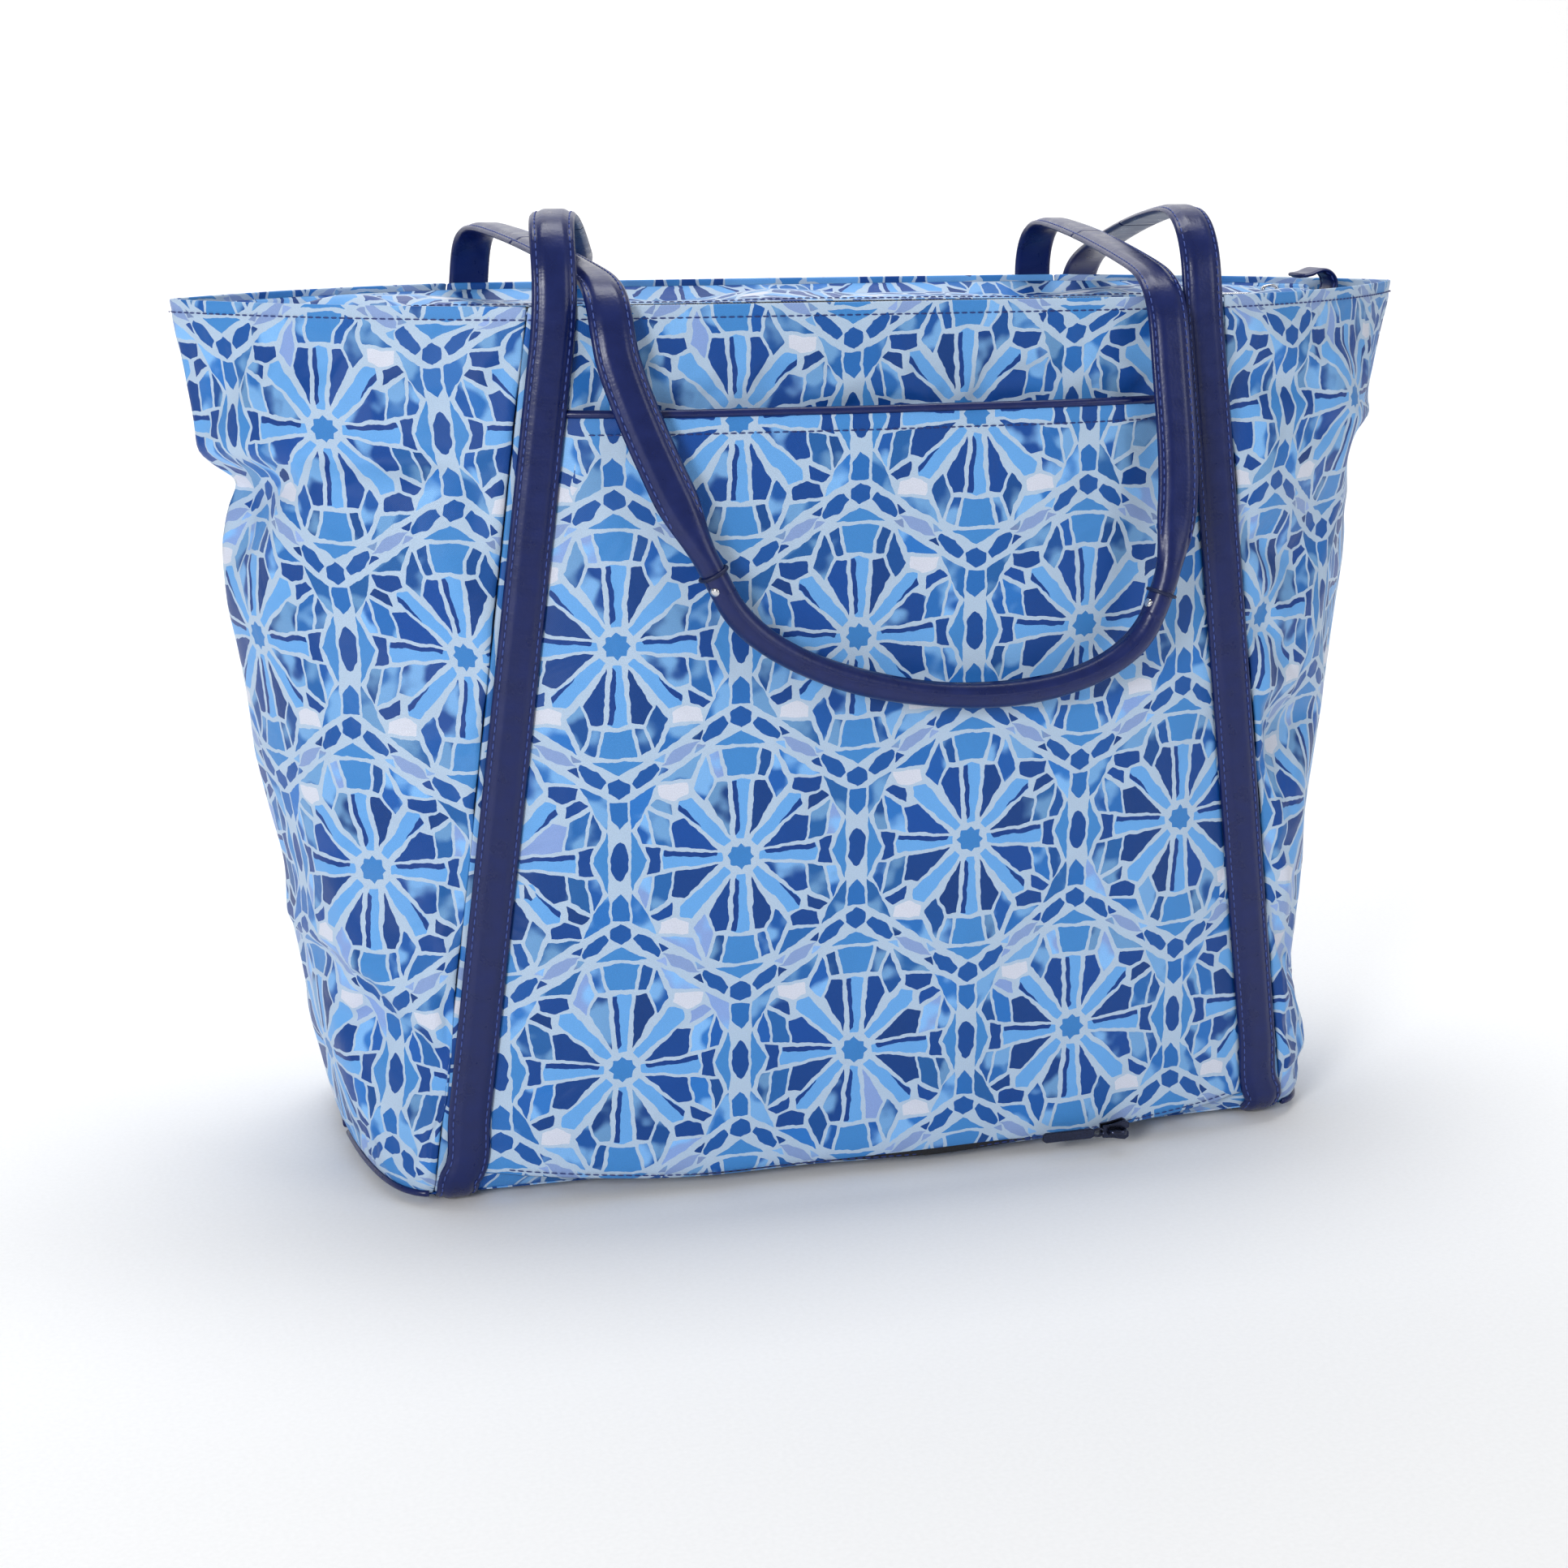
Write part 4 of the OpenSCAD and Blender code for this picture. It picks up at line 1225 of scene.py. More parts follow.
def build_sliders():
    """Makes both zips' sliders and pulls: one lies flat, the other faces outward from the sleeve."""
    # the sleeve's slider and pull take the darkened plate, painted shade behind the sleeve's lower edge
    for label, prefix, degrees, order, metal in (
            ("top", "", 0, [0, 1, 2], "metal"),
            ("sleeve", "sleeve_", 90, [0, 2, 1], "dark metal")):
        turn = Matrix.Rotation(math.radians(degrees), 4, "X")
        node = prefix + "zip_slider"
        lo, hi = low(node), high(node)
        middle = (lo + hi) / 2
        seat = (middle[0], hi[1], middle[2]) if degrees else (middle[0], middle[1], lo[2])
        place_flat(slider_pieces(label, (hi - lo)[order], metal), seat, turn, node)
        node = prefix + "zip_pull"
        lo, hi = low(node), high(node)
        middle = (lo + hi) / 2
        place_flat(pull_pieces(label, (hi - lo)[order], metal), (hi[0], middle[1], middle[2]), turn, node)


# ---------------------------------------------------------------- straps, handles and grips

def flat_profile(half, thick, pad):
    """Closed section of a folded strap: rounded edges, a stitched rim and a padded middle."""
    e = thick / 2
    top = []
    for s in np.linspace(-1, 1, 17):
        rim = abs(s) * half
        from_edge = half - rim
        groove = 0.28 * math.exp(-(((from_edge - 1.9) / 0.5) ** 2))
        height = e + pad * float(smooth((from_edge - 2.1) / 2.6)) - groove
        height *= math.sqrt(max(0.0, 1 - max(0.0, 1 - from_edge / 0.8) ** 2)) if from_edge < 0.8 else 1
        top.append((s * half, height))
    under = [(s * half, -e * (1 if abs(s) < 0.93 else 0.35)) for s in np.linspace(0.97, -0.97, 15)]
    return top + under


def round_profile(radius, count):
    """Closed round section with the same number and order of points as the flat one."""
    ring = []
    for k in range(count):
        a = math.pi - 2 * math.pi * (k + 0.5) / count
        ring.append((radius * math.cos(a), radius * math.sin(a)))
    return ring


def strap_profile():
    """Section of a strap away from its ends."""
    return flat_profile(Shape.strap_half, Shape.strap_t, settings().strap_pad / MM)


def mouth_y():
    """Distance of a strap from the middle plane where it passes the hem."""
    return wall_y(strap_x(Shape.hem) - Shape.strap_half, Shape.hem) + 0.4 + Shape.strap_t / 2


# Height of a stitched strap's middle line where it turns under the base.
BASE_TURN_Z = 2.3


def stitched_line(side, way):
    """Middle line of a stitched strap from under the base up to the hem; way is 1 at the front."""
    line = []
    r = Shape.foot

    def seat(z):
        return wall_y(strap_x(z) - Shape.strap_half, z) + 0.5 + Shape.strap_t / 2

    centre = seat(r) - r
    for a in np.linspace(0, 75, 6):
        k = math.radians(a)
        turned = BASE_TURN_Z + (r - BASE_TURN_Z) * (1 - math.cos(k))
        line.append((side * Shape.strap_base, way * (centre + r * math.sin(k)), turned))
    for z in np.linspace(r, Shape.hem, 16):
        line.append((side * strap_x(z), way * seat(z), z))
    return line


# Length of each leg that is rolled into the end of its grip.
GRIP_OVERLAP = 10.0
# Each handle's wall (-1 the back), its rise over the hem, the places of its legs at the far hem,
# and how far each leg bows outward and then tucks in towards its rivet.
HANDLES = {
    "back": {"way": -1, "rise": 31.0, "far": (-79.0, 147.0), "bow": (0.0, 0.0), "tuck": (0.0, 0.0)},
    "front": {"way": 1, "rise": 23.0, "far": (-104.6, 104.6), "bow": (0.0, 6.0), "tuck": (0.0, 8.0)},
}


# Makes k * k * (1 - k) peak at 1.
BOW_PEAK = 6.75
# Length along a leg over which its stitches stop short of the grip, and the edge's distance to them.
STITCH_STOP = 30.0
STITCH_EDGE = 1.9


def eased(path, floor_z, steps):
    """The path with its corners rounded wherever it runs higher than floor_z."""
    path = path.copy()
    free = smooth((path[1:-1, 2:3] - floor_z) / 12.0)
    for _ in range(steps):
        path[1:-1] += free * (path[:-2] + path[2:] - 2 * path[1:-1]) / 4
    return path


def crossing_line(way, x0, x1, top_z):
    """Middle line of a strap from its own hem over the mouth and down behind the far hem."""
    end_z = Shape.hem + 8
    y0 = mouth_y()
    run = 22.0
    turn = 12.0
    reach = 9.0
    far = -y0 + turn - reach
    line = [(y0 - run * (1 - math.cos(math.radians(a))), end_z + (top_z - end_z) * math.sin(math.radians(a)))
            for a in (0, 18, 36, 54, 72, 90)]
    line += [(mix(y0 - run, far, i / 9), top_z - (top_z - end_z) * (i / 9) ** 1.5) for i in range(1, 10)]
    line += [(far - turn * math.sin(math.radians(a)), end_z - turn * (1 - math.cos(math.radians(a))))
             for a in (22.5, 45, 67.5, 90)]
    out = []
    for y, z in line:
        share = min(1.0, max(0.0, (y0 - 8 - y) / (y0 - 8 - far)))
        out.append((mix(x0, x1, float(share)), way * y, z))
    return out


def grip_ends(handle):
    """The two rivets of a handle's grip, left and right, each as its x and z."""
    out = []
    for index, side in enumerate(("left", "right")):
        lo = low(f"{handle}_leg_{side}")
        hi = high(f"{handle}_leg_{side}")
        x = hi[0] - 7.6 if side == "left" else lo[0] + 7.6 - HANDLES[handle]["tuck"][index]
        out.append((x, lo[2] + 2.2))
    return out


def hanging_line(handle, side):
    """Middle line of a leg from the far hem to its rivet."""
    way = -HANDLES[handle]["way"]
    x1 = HANDLES[handle]["far"][side]
    rivet = grip_ends(handle)[side]
    top_z = Shape.hem - 4
    y0 = mouth_y() + 9.0
    line = []
    for k in (0.06, 0.15, 0.25, 0.35, 0.45, 0.55, 0.65, 0.75, 0.83, 0.9, 0.95, 1.0):
        share = (max(0.0, k - 0.06) / 0.94) ** 1.3
        bow = HANDLES[handle]["bow"][side] * BOW_PEAK * k * k * (1 - k)
        y = mix(y0, Shape.grip_y, math.sin(math.pi / 2 * k))
        line.append((mix(x1, rivet[0], share) + bow, way * y, mix(top_z, rivet[1], k)))
    return line


def leg_way(handle, side):
    """Direction in which a leg reaches its rivet, seen square on."""
    x1 = HANDLES[handle]["far"][side]
    rivet = grip_ends(handle)[side]
    bow = HANDLES[handle]["bow"][side] * BOW_PEAK
    d = np.array([1.3 / 0.94 * (rivet[0] - x1) - bow, rivet[1] - (Shape.hem - 4)])
    return d / np.linalg.norm(d)


def grip_line(handle):
    """Middle line of a rolled grip between its rivets."""
    way = -HANDLES[handle]["way"]
    a, b = [np.array(p) for p in grip_ends(handle)]
    drop = min(a[1], b[1]) - low(handle + "_grip")[2] - Shape.grip_r
    pull = 1.36 * max(drop, 20.0) * 1.3
    p1 = a + leg_way(handle, 0) * pull
    p2 = b + leg_way(handle, 1) * pull
    line = []
    step = 1.5
    rolled = slice(-1 - int(GRIP_OVERLAP / step), -1)
    legs = [resample(np.array(hanging_line(handle, side)), step)[rolled] for side in (0, 1)]
    for t in np.linspace(0, 1, 60):
        s = 1 - t
        p = s ** 3 * a + 3 * s * s * t * p1 + 3 * s * t * t * p2 + t ** 3 * b
        line.append((p[0], way * Shape.grip_y, p[1]))
    return np.concatenate([legs[0], line, legs[1][::-1]])


def curling_profile(length):
    """Section of a leg of that length: flat at first, then curled into a tube for the grip."""
    flat = np.array(strap_profile())
    curled = np.array(round_profile(4.6, len(flat)))

    def section(share, arc):
        k = float(smooth((arc - (length - 42)) / 28))
        return [tuple(p) for p in mix(flat, curled, k)]

    return section


def edge_stitches(name, path, hint, off_edge, lift, stop=0.0):
    """Two rows of stitches, one along each edge of a strap, that end short of its tip by stop."""
    _, across, out = frames(path, hint)
    run = running(path)
    keep = run <= run[-1] - stop
    rows = []
    for hand in (-1, 1):
        line = path + across * hand * off_edge + out * lift
        rows.append(stitch_row(f"{name} {'ab'[hand > 0]}", line[keep], out[keep], "strap thread"))
    return rows


def build_handle(handle):
    """Makes one handle: two straps stitched to a wall, crossing the mouth to a rolled grip."""
    way = HANDLES[handle]["way"]
    root = "bag" if handle == "back" else "front"
    bridge = handle + "_handle_bridge"
    hang = handle + "_handle_grip"
    top_z = Shape.hem + HANDLES[handle]["rise"]
    y0 = mouth_y()
    hint = (way, 0, 0)
    # where each bend begins and ends: at the handle's own hem, then at the far one
    own_hem = ((0, way * (y0 + 1), Shape.hem + 10), (0, way * (y0 - 16), top_z + 2))
    far_hem = ((0, -way * (y0 - 8), Shape.hem + 12), (0, -way * (y0 + 10), Shape.hem - 8))
    for index, (label, side) in enumerate((("left", -1), ("right", 1))):
        cross = crossing_line(way, side * Shape.strap_top, HANDLES[handle]["far"][index], top_z)
        whole = resample(np.array(stitched_line(side, way) + cross + hanging_line(handle, index)), 2.6)
        whole = resample(eased(whole, Shape.hem - 18, 36), 2.6)
        middle = int(np.argmin(abs(whole[:, 1]) + (whole[:, 2] < Shape.hem) * 1000))
        first = whole[:middle + 1]
        second = whole[middle:]
        profile = strap_profile()
        strap = sweep(f"{handle} strap {label}", first, hint, lambda share, arc: profile, "leather")
        leg = sweep(f"{handle} leg {label}", second, hint, curling_profile(running(second)[-1]), "leather")
        parts = (("strap", strap, first, (root, bridge), own_hem, 0.0,
                  (f"strap_{handle}_{label}", f"{handle}_bridge_{label}")),
                 ("leg", leg, second, (bridge, hang), far_hem, STITCH_STOP, (f"{handle}_leg_{label}",)))
        for name, piece, path, bodies, bend, stop, nodes in parts:
            rows = edge_stitches(f"{handle} {name} {label} stitches", path, hint,
                                 Shape.strap_half - STITCH_EDGE, Shape.strap_t / 2 - 0.15, stop)
            for obj in rows:
                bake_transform(obj)
        for name, piece, path, bodies, bend, stop, nodes in parts:
            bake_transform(piece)
            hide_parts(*nodes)
        build_grip_end(handle, label, second, hint)
    build_grip(handle)


def build_grip_end(handle, label, path, hint):
    """Makes the cut rim where a leg enters the rolled grip, and the rivet through both."""
    _, across, out = frames(path, hint)

    def back_from_tip(distance):
        return int(np.argmin(abs(np.linalg.norm(path - path[-1], axis=1) - distance)))

    start = back_from_tip(GRIP_OVERLAP)
    rim = ring_wire(f"{handle} grip rim {label}", path[start], across[start], out[start],
                    5.2, 5.2, 0.7, "edge")
    lay_out(rim, handle + "_handle_grip")
    spot = back_from_tip(GRIP_OVERLAP - 5.5)
    # how far the rivet turns to the side
    lean = 0.72 if label == "left" else 0.95
    slant = -across[spot] * lean + out[spot] * math.sqrt(1 - lean * lean)
    for hand in (-1, 1):
        head = path[spot] + slant * hand * (Shape.grip_r - 0.7)
        dome(f"{handle} rivet {label} {'ab'[hand > 0]}", head, slant * hand, 1.8, 1.0, handle)


def dome(name, centre, normal, radius, tall, handle):
    """A domed rivet head standing on a surface."""
    normal = np.asarray(normal, float)
    helper = np.array([0, 0, 1.0]) if abs(normal[2]) < 0.9 else np.array([1.0, 0, 0])
    right = np.cross(helper, normal)
    right = right / np.linalg.norm(right)
    up = np.cross(normal, right)
    rings = [(1.0, -0.6), (1.0, 0.15), (0.93, 0.45), (0.75, 0.75), (0.45, 0.95), (0.12, 1.0)]
    sides = 20
    points = []
    for wide, height in rings:
        for k in range(sides):
            a = 2 * math.pi * k / sides
            spoke = right * math.cos(a) + up * math.sin(a)
            points.append(centre + spoke * radius * wide + normal * tall * height)
    faces = grid_faces(len(rings), sides, closed=True)
    faces.append([(len(rings) - 1) * sides + k for k in range(sides)])
    faces.append([sides - 1 - k for k in range(sides)])
    lay_out(mesh_object(name, points, faces, None, [finish("metal")]), handle + "_handle_grip")


def build_grip(handle):
    """Makes a rolled leather grip with its seam underneath."""
    line = resample(grip_line(handle), 2.2)
    count = 28
    way = -HANDLES[handle]["way"]

    def section(share, arc):
        near_end = min(share, 1 - share)
        radius = Shape.grip_r - 0.55 + 0.35 * float(smooth(near_end / 0.12)) + 0.12 * math.sin(arc / 9.0)
        ring = []
        for k in range(count):
            a = 2 * math.pi * k / count
            dent = 0.55 * math.exp(-(((a - math.pi * 1.5) / 0.16) ** 2))
            ring.append(((radius - dent) * math.cos(a), (radius - dent) * math.sin(a)))
        return ring

    grip = sweep(handle + " grip", line, (0, way, 0), section, "leather")
    lay_out(grip, handle + "_handle_grip", stands_for=[handle + "_grip", handle + "_rivets"])


# ---------------------------------------------------------------- sleeve on the back

def sleeve_half(z):
    """Half the width of the sleeve at height z."""
    return strap_x(z) - Shape.strap_half + 0.6


def sleeve_point(x, z, extra=0.0):
    """A point of the sleeve's outside."""
    half = sleeve_half(z)
    share = min(1.0, abs(x) / half)
    lift = Shape.sleeve_out - wall_y(0, 150.0) - 0.8
    lift *= 0.92 + 0.08 * math.sin(math.pi * rise(z))
    body = (1 - share ** 3.2) ** 0.85
    ripple = 0.9 * math.sin(x / 21.0 + z / 90.0) * math.sin(z / 48.0)
    ripple += 0.6 * math.sin(x / 13.0 - z / 60.0 + 1.0)
    return -(wall_y(half, z) + 0.3 + extra + (lift + ripple * body) * body)


def sleeve_low_z(x):
    """Height of the sleeve's lower edge at the place x."""
    share = min(1.0, abs(x) / 150.0)
    sag = settings().sleeve_droop / MM
    return Shape.sleeve_low - sag * (1 - share ** 2.4) * (0.92 + 0.08 * math.sin(x / 19.0))


def build_sleeve():
    """Makes the sleeve's cloth, its leather binding, stitches and lower zip."""
    rows = 60
    cols = 81
    top = Shape.sleeve_top - 2.0
    grid = np.empty((rows, cols, 3))
    for r in range(rows):
        for c in range(cols):
            s = math.sin(math.pi / 2 * (2 * c / (cols - 1) - 1))
            z = mix(sleeve_low_z(s * sleeve_half(Shape.sleeve_low)), top, r / (rows - 1))
            x = s * sleeve_half(z)
            hem = 0.5 * float(smooth((8 - (z - sleeve_low_z(x))) / 1.5))
            grid[r, c] = (x, sleeve_point(x, z, hem), z)
    uv = grid[:, :, [0, 2]] + SLEEVE_PRINT
    cloth = grid_sheet("sleeve cloth", grid, uv, "print")
    thicken(cloth, Shape.cloth)
    low_line = np.array([[x, sleeve_point(x, sleeve_low_z(x) + 2.4, 0.5) - 0.15, sleeve_low_z(x) + 2.4]
                         for x in np.linspace(-146, 146, 120)])
    top_line = np.array([[x, sleeve_point(x, top - 6.5) - 0.15, top - 6.5]
                         for x in np.linspace(-112, 112, 100)])
    threads = [stitch_row(name, line, np.tile([0, -1.0, 0], (len(line), 1)), "hem thread")
               for name, line in (("sleeve hem stitches", low_line), ("sleeve top stitches", top_line))]
    path = np.array([[x, sleeve_point(x, top + 1.0, -0.6), top + 0.6] for x in
                     (math.sin(math.pi / 2 * k) * sleeve_half(top) for k in np.linspace(-1, 1, 81))])
    ring = [(1.5 * a, 1.25 * b * (1.0 if abs(b) < 0.9 else 1.15)) for a, b in circle(1.0, 16)]
    binding = sweep("sleeve binding", path, (0, 0, 1), lambda share, arc: ring, "leather")
    lay_out(binding, "bag", stands_for=["sleeve_binding"])
    for row in threads:
        lay_out(row, "bag")
    lay_out(cloth, "bag", stands_for=["sleeve"])
    build_sleeve_zip()


def build_sleeve_zip():
    """Makes the zip that runs along the sleeve's lower edge, tucked behind it."""
    def seat(x):
        return sleeve_point(x, 11.0)

    xs = np.linspace(-142, 142, 110)
    tape = np.array([[(x, seat(x) + 1.6, sleeve_low_z(x) - k + 5.5) for x in xs] for k in (-2.0, 1.5, 4.0)])
    run = row_lengths(tape)
    uv = np.stack([run, np.array([0.0, 3.0, 6.5])[:, None] + run * 0], axis=2)
    obj = grid_sheet("sleeve zip tape", tape, uv, "tape", flip=True)
    thicken(obj, 0.5)
    lay_out(obj, "bag", stands_for=["sleeve_zip_tape"])
    half = high("sleeve_zip_teeth")[0]
    z = (low("sleeve_zip_teeth")[2] + high("sleeve_zip_teeth")[2]) / 2
    line = np.array([[x, seat(x) + 2.6, z] for x in np.linspace(-half, half, 90)])
    teeth = coil("sleeve zip coil", line, 0.7, 1.0, 0.36)
    lay_out(teeth, "bag", stands_for=["sleeve_zip_teeth"])


# ---------------------------------------------------------------- base, lining and tail

def build_base():
    """Makes the base cloth, the two straps under it and the piping at its ends."""
    z = Shape.floor_z - 0.4
    shares = np.linspace(-0.994, 0.994, 61)
    half = np.array([outline(u, Shape.floor_z + 1.0) for u in shares])
    lanes = np.linspace(-1, 1, 25)
    grid = np.array([[(x, y * k, z + 1.2 * (1 - k * k) * (1 - (x / Shape.base_half) ** 2)) for x, y in half]
                     for k in lanes])
    uv = grid[:, :, :2] + (14.5, 20.0)
    base = grid_sheet("base cloth", grid, uv, "print", flip=True)
    thicken(base, Shape.cloth)
    lay_out(base, folds=1.0, stands_for=["base_panel"])
    profile = flat_profile(Shape.strap_half, Shape.strap_t, 0.1)
    for label, side in (("left", -1), ("right", 1)):
        reach = abs(stitched_line(side, 1)[0][1])
        path = np.array([[side * Shape.strap_base, y, 1.3] for y in np.linspace(-reach, reach, 50)])
        strap = sweep(f"base strap {label}", path, (1, 0, 0), lambda share, arc: profile, "leather")
        lay_out(strap, folds=1.0, stands_for=[f"base_strap_{label}"])
        for way in (-1, 1):
            line = []
            for t in np.linspace(0.52, 0.985, 30):
                p = outline(t, Shape.floor_z + 1.5)
                line.append((side * (p[0] + 0.3), way * p[1], Shape.floor_z + 0.9))
            ring = circle(1.3, 10)
            piping = sweep(f"base piping {label} {'front' if way > 0 else 'back'}", np.array(line), (0, 0, 1),
                           lambda share, arc: ring, "leather")
            lay_out(piping, folds=1.0)


def build_lining():
    """Makes the loose lining inside the shell."""
    heights, shares, outside = shell()
    rows = [r for r, z in enumerate(heights) if Shape.floor_z + 4 <= z <= Shape.lining_top]
    levels = heights[rows]
    count = outside.shape[1] // 2
    grid = outside[rows][:, ::2].copy()
    for r, z in enumerate(levels):
        around = np.roll(grid[r], -1, axis=0) - np.roll(grid[r], 1, axis=0)
        out = np.stack([-around[:, 1], around[:, 0], 0 * around[:, 0]], axis=1)
        grid[r] -= out / np.linalg.norm(out, axis=1, keepdims=True) * 4.4
        most = end_x(z) - pinch(z) - 9.0
        grid[r, :, 0] = np.clip(grid[r, :, 0], -most, most)
    run = row_lengths(grid)
    uv = np.stack([run, np.repeat(levels[:, None], count, 1)], axis=2)
    obj = grid_sheet("lining cloth", grid, uv, "lining", closed=True)
    thicken(obj, 0.5, levels=0)
    lay_out(obj, folds=0.4, stands_for=["lining"])
    lanes = np.linspace(-1, 1, 9)
    z = levels[0]
    shares = np.linspace(-0.99, 0.99, 41)
    half = np.array([outline(u, z) * (0.975, 0.94) for u in shares])
    floor = np.array([[(p[0], p[1] * k, z + 0.3) for p in half] for k in lanes])
    flat = grid_sheet("lining floor", floor, floor[:, :, :2], "lining")
    thicken(flat, 0.5, levels=0)
    lay_out(flat, folds=0.4)


def build_tail():
    """Makes the leather tab that closes the zip's end and curls back over itself."""
    lo, hi = low("zip_tail"), high("zip_tail")
    wide = (hi[1] - lo[1]) / 2
    r = (hi[2] - lo[2]) / 2 - 1.0
    centre_z = lo[2] + 1.0 + r
    end = hi[0] - 1.0 - r
    line = [(x, 0, lo[2] + 1.0) for x in np.linspace(lo[0] - 4, end, 6)]
    line += [(end + r * math.sin(a), 0, centre_z - r * math.cos(a))
             for a in np.linspace(0.3, math.pi * 1.12, 14)]
    line += [(end - k, 0, centre_z + r * (0.86 - k * 0.025)) for k in (5.5, 9.0)]
    profile = flat_profile(wide, 1.5, 0.4)
    path = resample(np.array(line), 1.2)
    tab = sweep("zip end tab", path, (0, 1, 0), lambda share, arc: profile, "leather")
    lay_out(tab, "zip_line", stands_for=["zip_tail"])
    for row in edge_stitches("tab stitches", path, (0, 1, 0), wide - STITCH_EDGE, 0.62):
        lay_out(row, "zip_line")


# ---------------------------------------------------------------- stage

def build_stage():
    """Makes the floor, the lights and the camera."""
    stage = bpy.context.scene.stage_settings
    # a sheet of paper that lies flat under the tote and curves up behind it
    profile = [(-5000.0, 0.0), (900.0, 0.0)]
    profile += [(900.0 + 900.0 * math.sin(a), 900.0 - 900.0 * math.cos(a)) for a in np.linspace(0.1, 1.5, 14)]
    profile += [(1850.0, 1200.0), (1850.0, 5000.0)]
    points = [(x, y, z) for y, z in profile for x in (-6000.0, 6000.0)]
    quads = [[2 * i, 2 * i + 1, 2 * i + 3, 2 * i + 2] for i in range(len(profile) - 1)]
    floor = mesh_object("paper sweep", points, quads)
    material, tree, shader = new_material("Matte studio paper")
    tone = spread(tree, noise(tree, object_mm(tree), 0.6, 3.0), 0.3, 0.7, 0.9, 0.93)
    tree.links.new(grey(tree, tone), shader.inputs["Base Color"])
    shader.inputs["Roughness"].default_value = 0.9
    shader.inputs["Specular IOR Level"].default_value = 0.1
    floor.data.materials.append(material)
    tote = (0, 0, 0.17)
    for name, place, aim, power, size in (
            ("key light", (-1.6, -1.9, 0.95), tote, stage.key_power, 0.6),
            ("fill light", (1.7, -1.6, 0.9), tote, stage.fill_power, 1.0),
            ("paper light", (0.2, 0.5, 2.4), (0.2, 1.9, 0.9), stage.paper_power, 1.6)):
        data = bpy.data.lights.new(name, "AREA")
        data.energy = power
        data.size = size
        lamp = bpy.data.objects.new(name, data)
        lamp.location = place
        lamp.rotation_euler = (Vector(aim) - Vector(place)).to_track_quat("-Z", "Y").to_euler()
        bpy.context.scene.collection.objects.link(lamp)
    world = bpy.data.worlds.new("even studio light")
    world.use_nodes = True
    sky = world.node_tree.nodes["Background"]
    sky.inputs[0].default_value = (1.0, 1.0, 1.0, 1.0)
    sky.inputs[1].default_value = stage.sky
    bpy.context.scene.world = world
    data = bpy.data.cameras.new("camera")
    data.lens = 61.6
    data.sensor_width = 36.0
    camera = bpy.data.objects.new("camera", data)
    camera.location = (-0.3128, -1.0111, 0.3856)
    camera.rotation_euler = (math.radians(90 - 13.47), 0, math.radians(-16.45))
    bpy.context.scene.collection.objects.link(camera)
    bpy.context.scene.camera = camera
    bpy.context.scene.view_settings.view_transform = "Standard"


# ---------------------------------------------------------------- operators and panel

class TOTE_OT_shell(bpy.types.Operator):
    """Build the cloth walls with their hems"""

    bl_idname = "tote.shell"
    bl_label = "Cloth walls"

    def execute(self, context):
        build_shell()
        return {"FINISHED"}


class TOTE_OT_mouth(bpy.types.Operator):
    """Build the facings, the top zip and its end tab"""

    bl_idname = "tote.mouth"
    bl_label = "Mouth and top zip"

    def execute(self, context):
        build_facings()
        build_top_zip()
        build_tail()
        return {"FINISHED"}


class TOTE_OT_sleeve(bpy.types.Operator):
    """Build the sleeve with its binding and lower zip"""

    bl_idname = "tote.sleeve"
    bl_label = "Sleeve"

    def execute(self, context):
        build_sleeve()
        return {"FINISHED"}


class TOTE_OT_handles(bpy.types.Operator):
    """Build both handles: stitched straps, legs, rolled grips and rivets"""

    bl_idname = "tote.handles"
    bl_label = "Straps and grips"

    def execute(self, context):
        build_handle("back")
        build_handle("front")
        return {"FINISHED"}


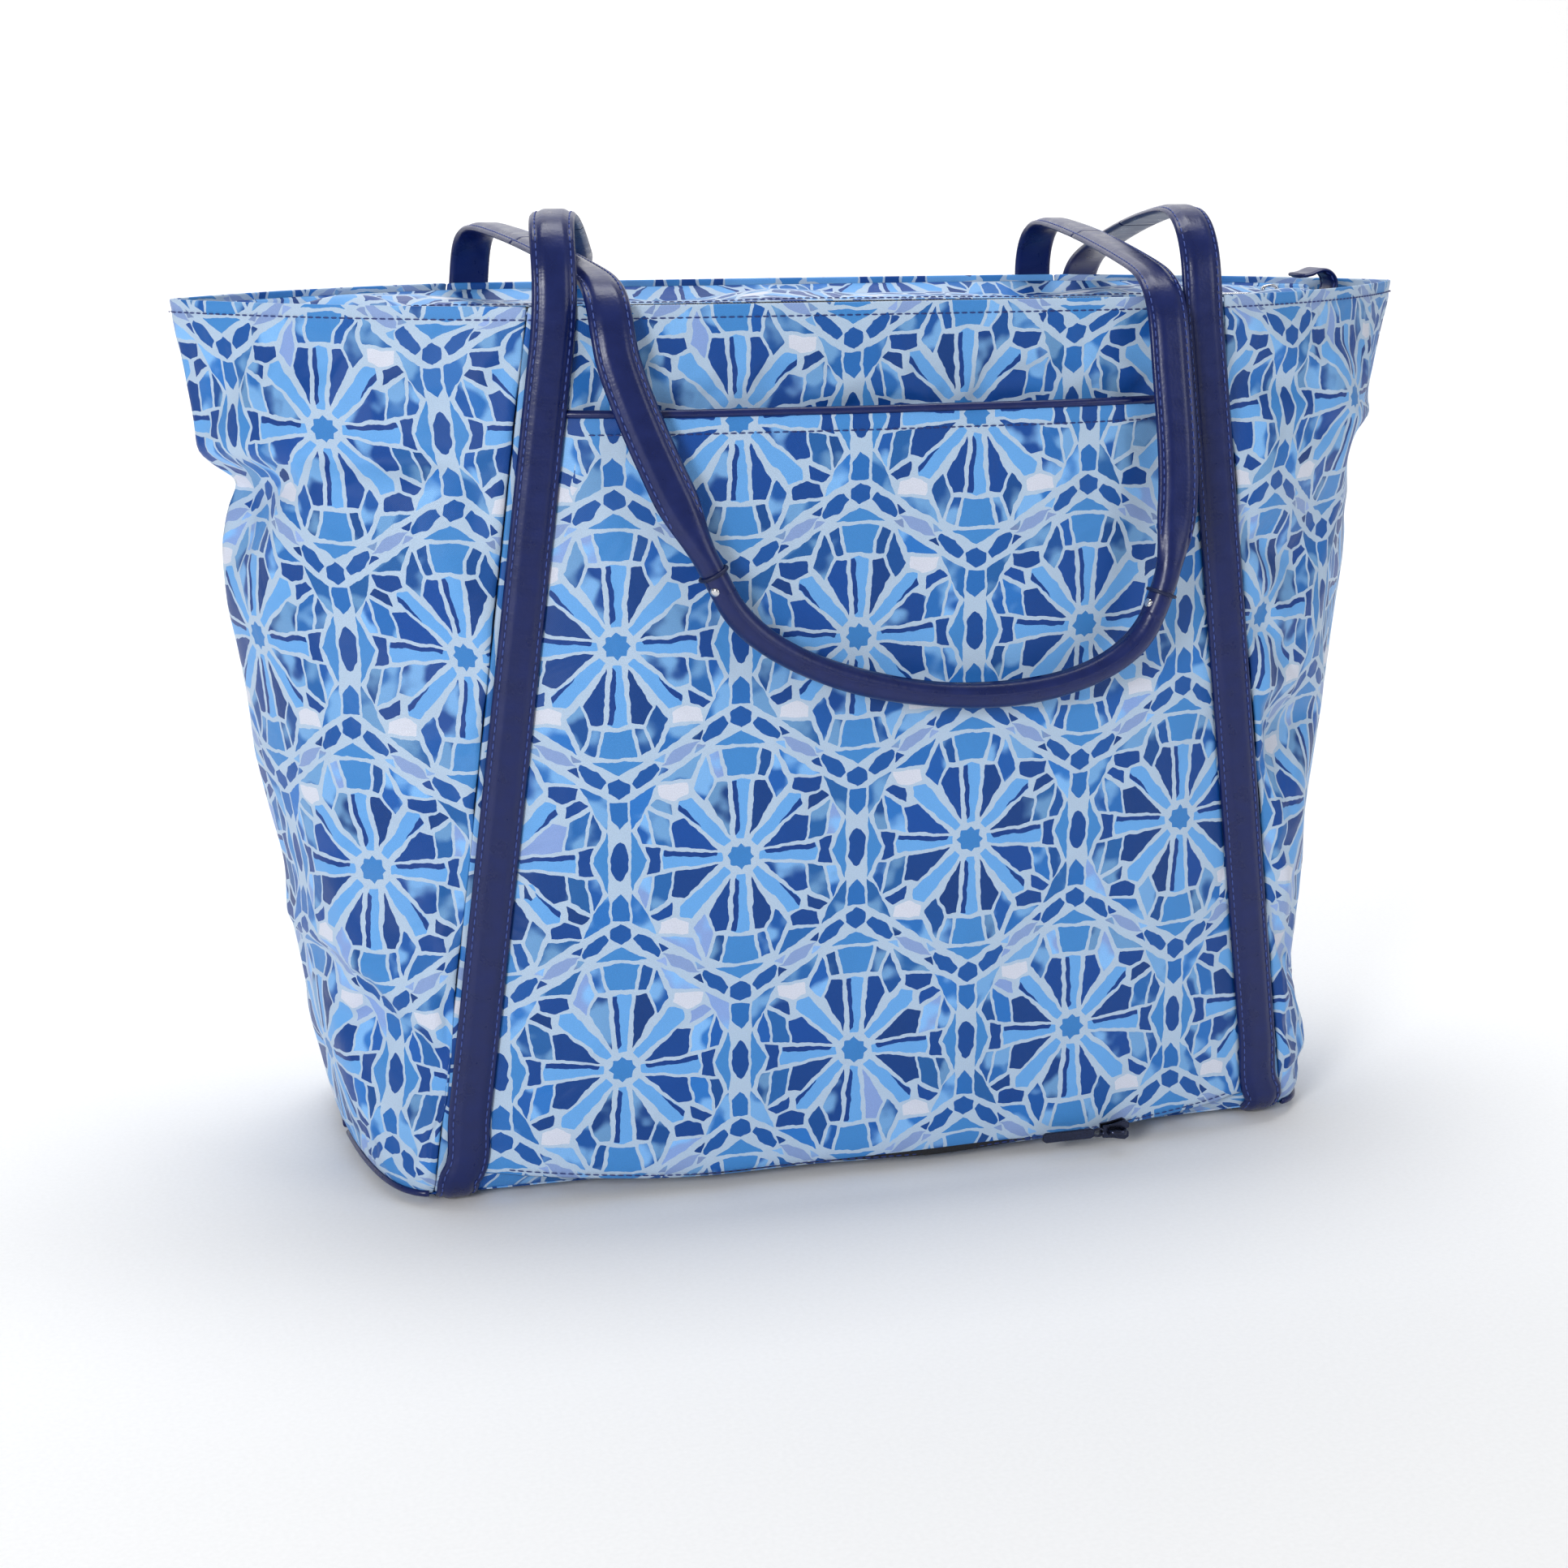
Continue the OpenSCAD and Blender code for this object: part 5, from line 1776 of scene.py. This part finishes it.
class TOTE_OT_sliders(bpy.types.Operator):
    """Build the sliders and pulls of both zips"""

    bl_idname = "tote.sliders"
    bl_label = "Zip sliders"

    def execute(self, context):
        build_sliders()
        return {"FINISHED"}


class TOTE_OT_inside(bpy.types.Operator):
    """Build the base, the straps under it and the lining"""

    bl_idname = "tote.inside"
    bl_label = "Base and lining"

    def execute(self, context):
        build_base()
        build_lining()
        return {"FINISHED"}


class TOTE_OT_stage(bpy.types.Operator):
    """Build the floor, the lights and the camera"""

    bl_idname = "tote.stage"
    bl_label = "Stage"

    def execute(self, context):
        build_stage()
        return {"FINISHED"}


STEPS = (TOTE_OT_shell, TOTE_OT_mouth, TOTE_OT_sleeve, TOTE_OT_handles, TOTE_OT_sliders, TOTE_OT_inside,
         TOTE_OT_stage)


class TOTE_PT_panel(bpy.types.Panel):
    """Lists the tote's pieces and their settings"""

    bl_idname = "TOTE_PT_panel"
    bl_label = "Foldable Tote"
    bl_space_type = "VIEW_3D"
    bl_region_type = "UI"
    bl_category = "Tote"

    def draw(self, context):
        layout = self.layout
        tote = context.scene.tote_settings
        for name in ("slack", "settle_frames", "stitch_pitch", "hem_stitch_drop",
                     "strap_pad", "sleeve_droop"):
            layout.prop(tote, name)
        stage = context.scene.stage_settings
        for name in ("key_power", "fill_power", "paper_power", "sky"):
            layout.prop(stage, name)
        for step in STEPS:
            layout.operator(step.bl_idname)


CLASSES = (ToteSettings, StageSettings, *STEPS, TOTE_PT_panel)


def register():
    """Registers the classes and puts the settings on the scene."""
    for cls in CLASSES:
        bpy.utils.register_class(cls)
    bpy.types.Scene.tote_settings = PointerProperty(type=ToteSettings)
    bpy.types.Scene.stage_settings = PointerProperty(type=StageSettings)


def unregister():
    """Takes the settings and the classes away again."""
    del bpy.types.Scene.stage_settings
    del bpy.types.Scene.tote_settings
    for cls in reversed(CLASSES):
        bpy.utils.unregister_class(cls)


def main():
    """Builds the whole tote."""
    register()
    bpy.ops.tote.shell()
    bpy.ops.tote.mouth()
    bpy.ops.tote.sleeve()
    bpy.ops.tote.handles()
    bpy.ops.tote.sliders()
    bpy.ops.tote.inside()
    bpy.ops.tote.stage()


if __name__ == "__main__":
    main()
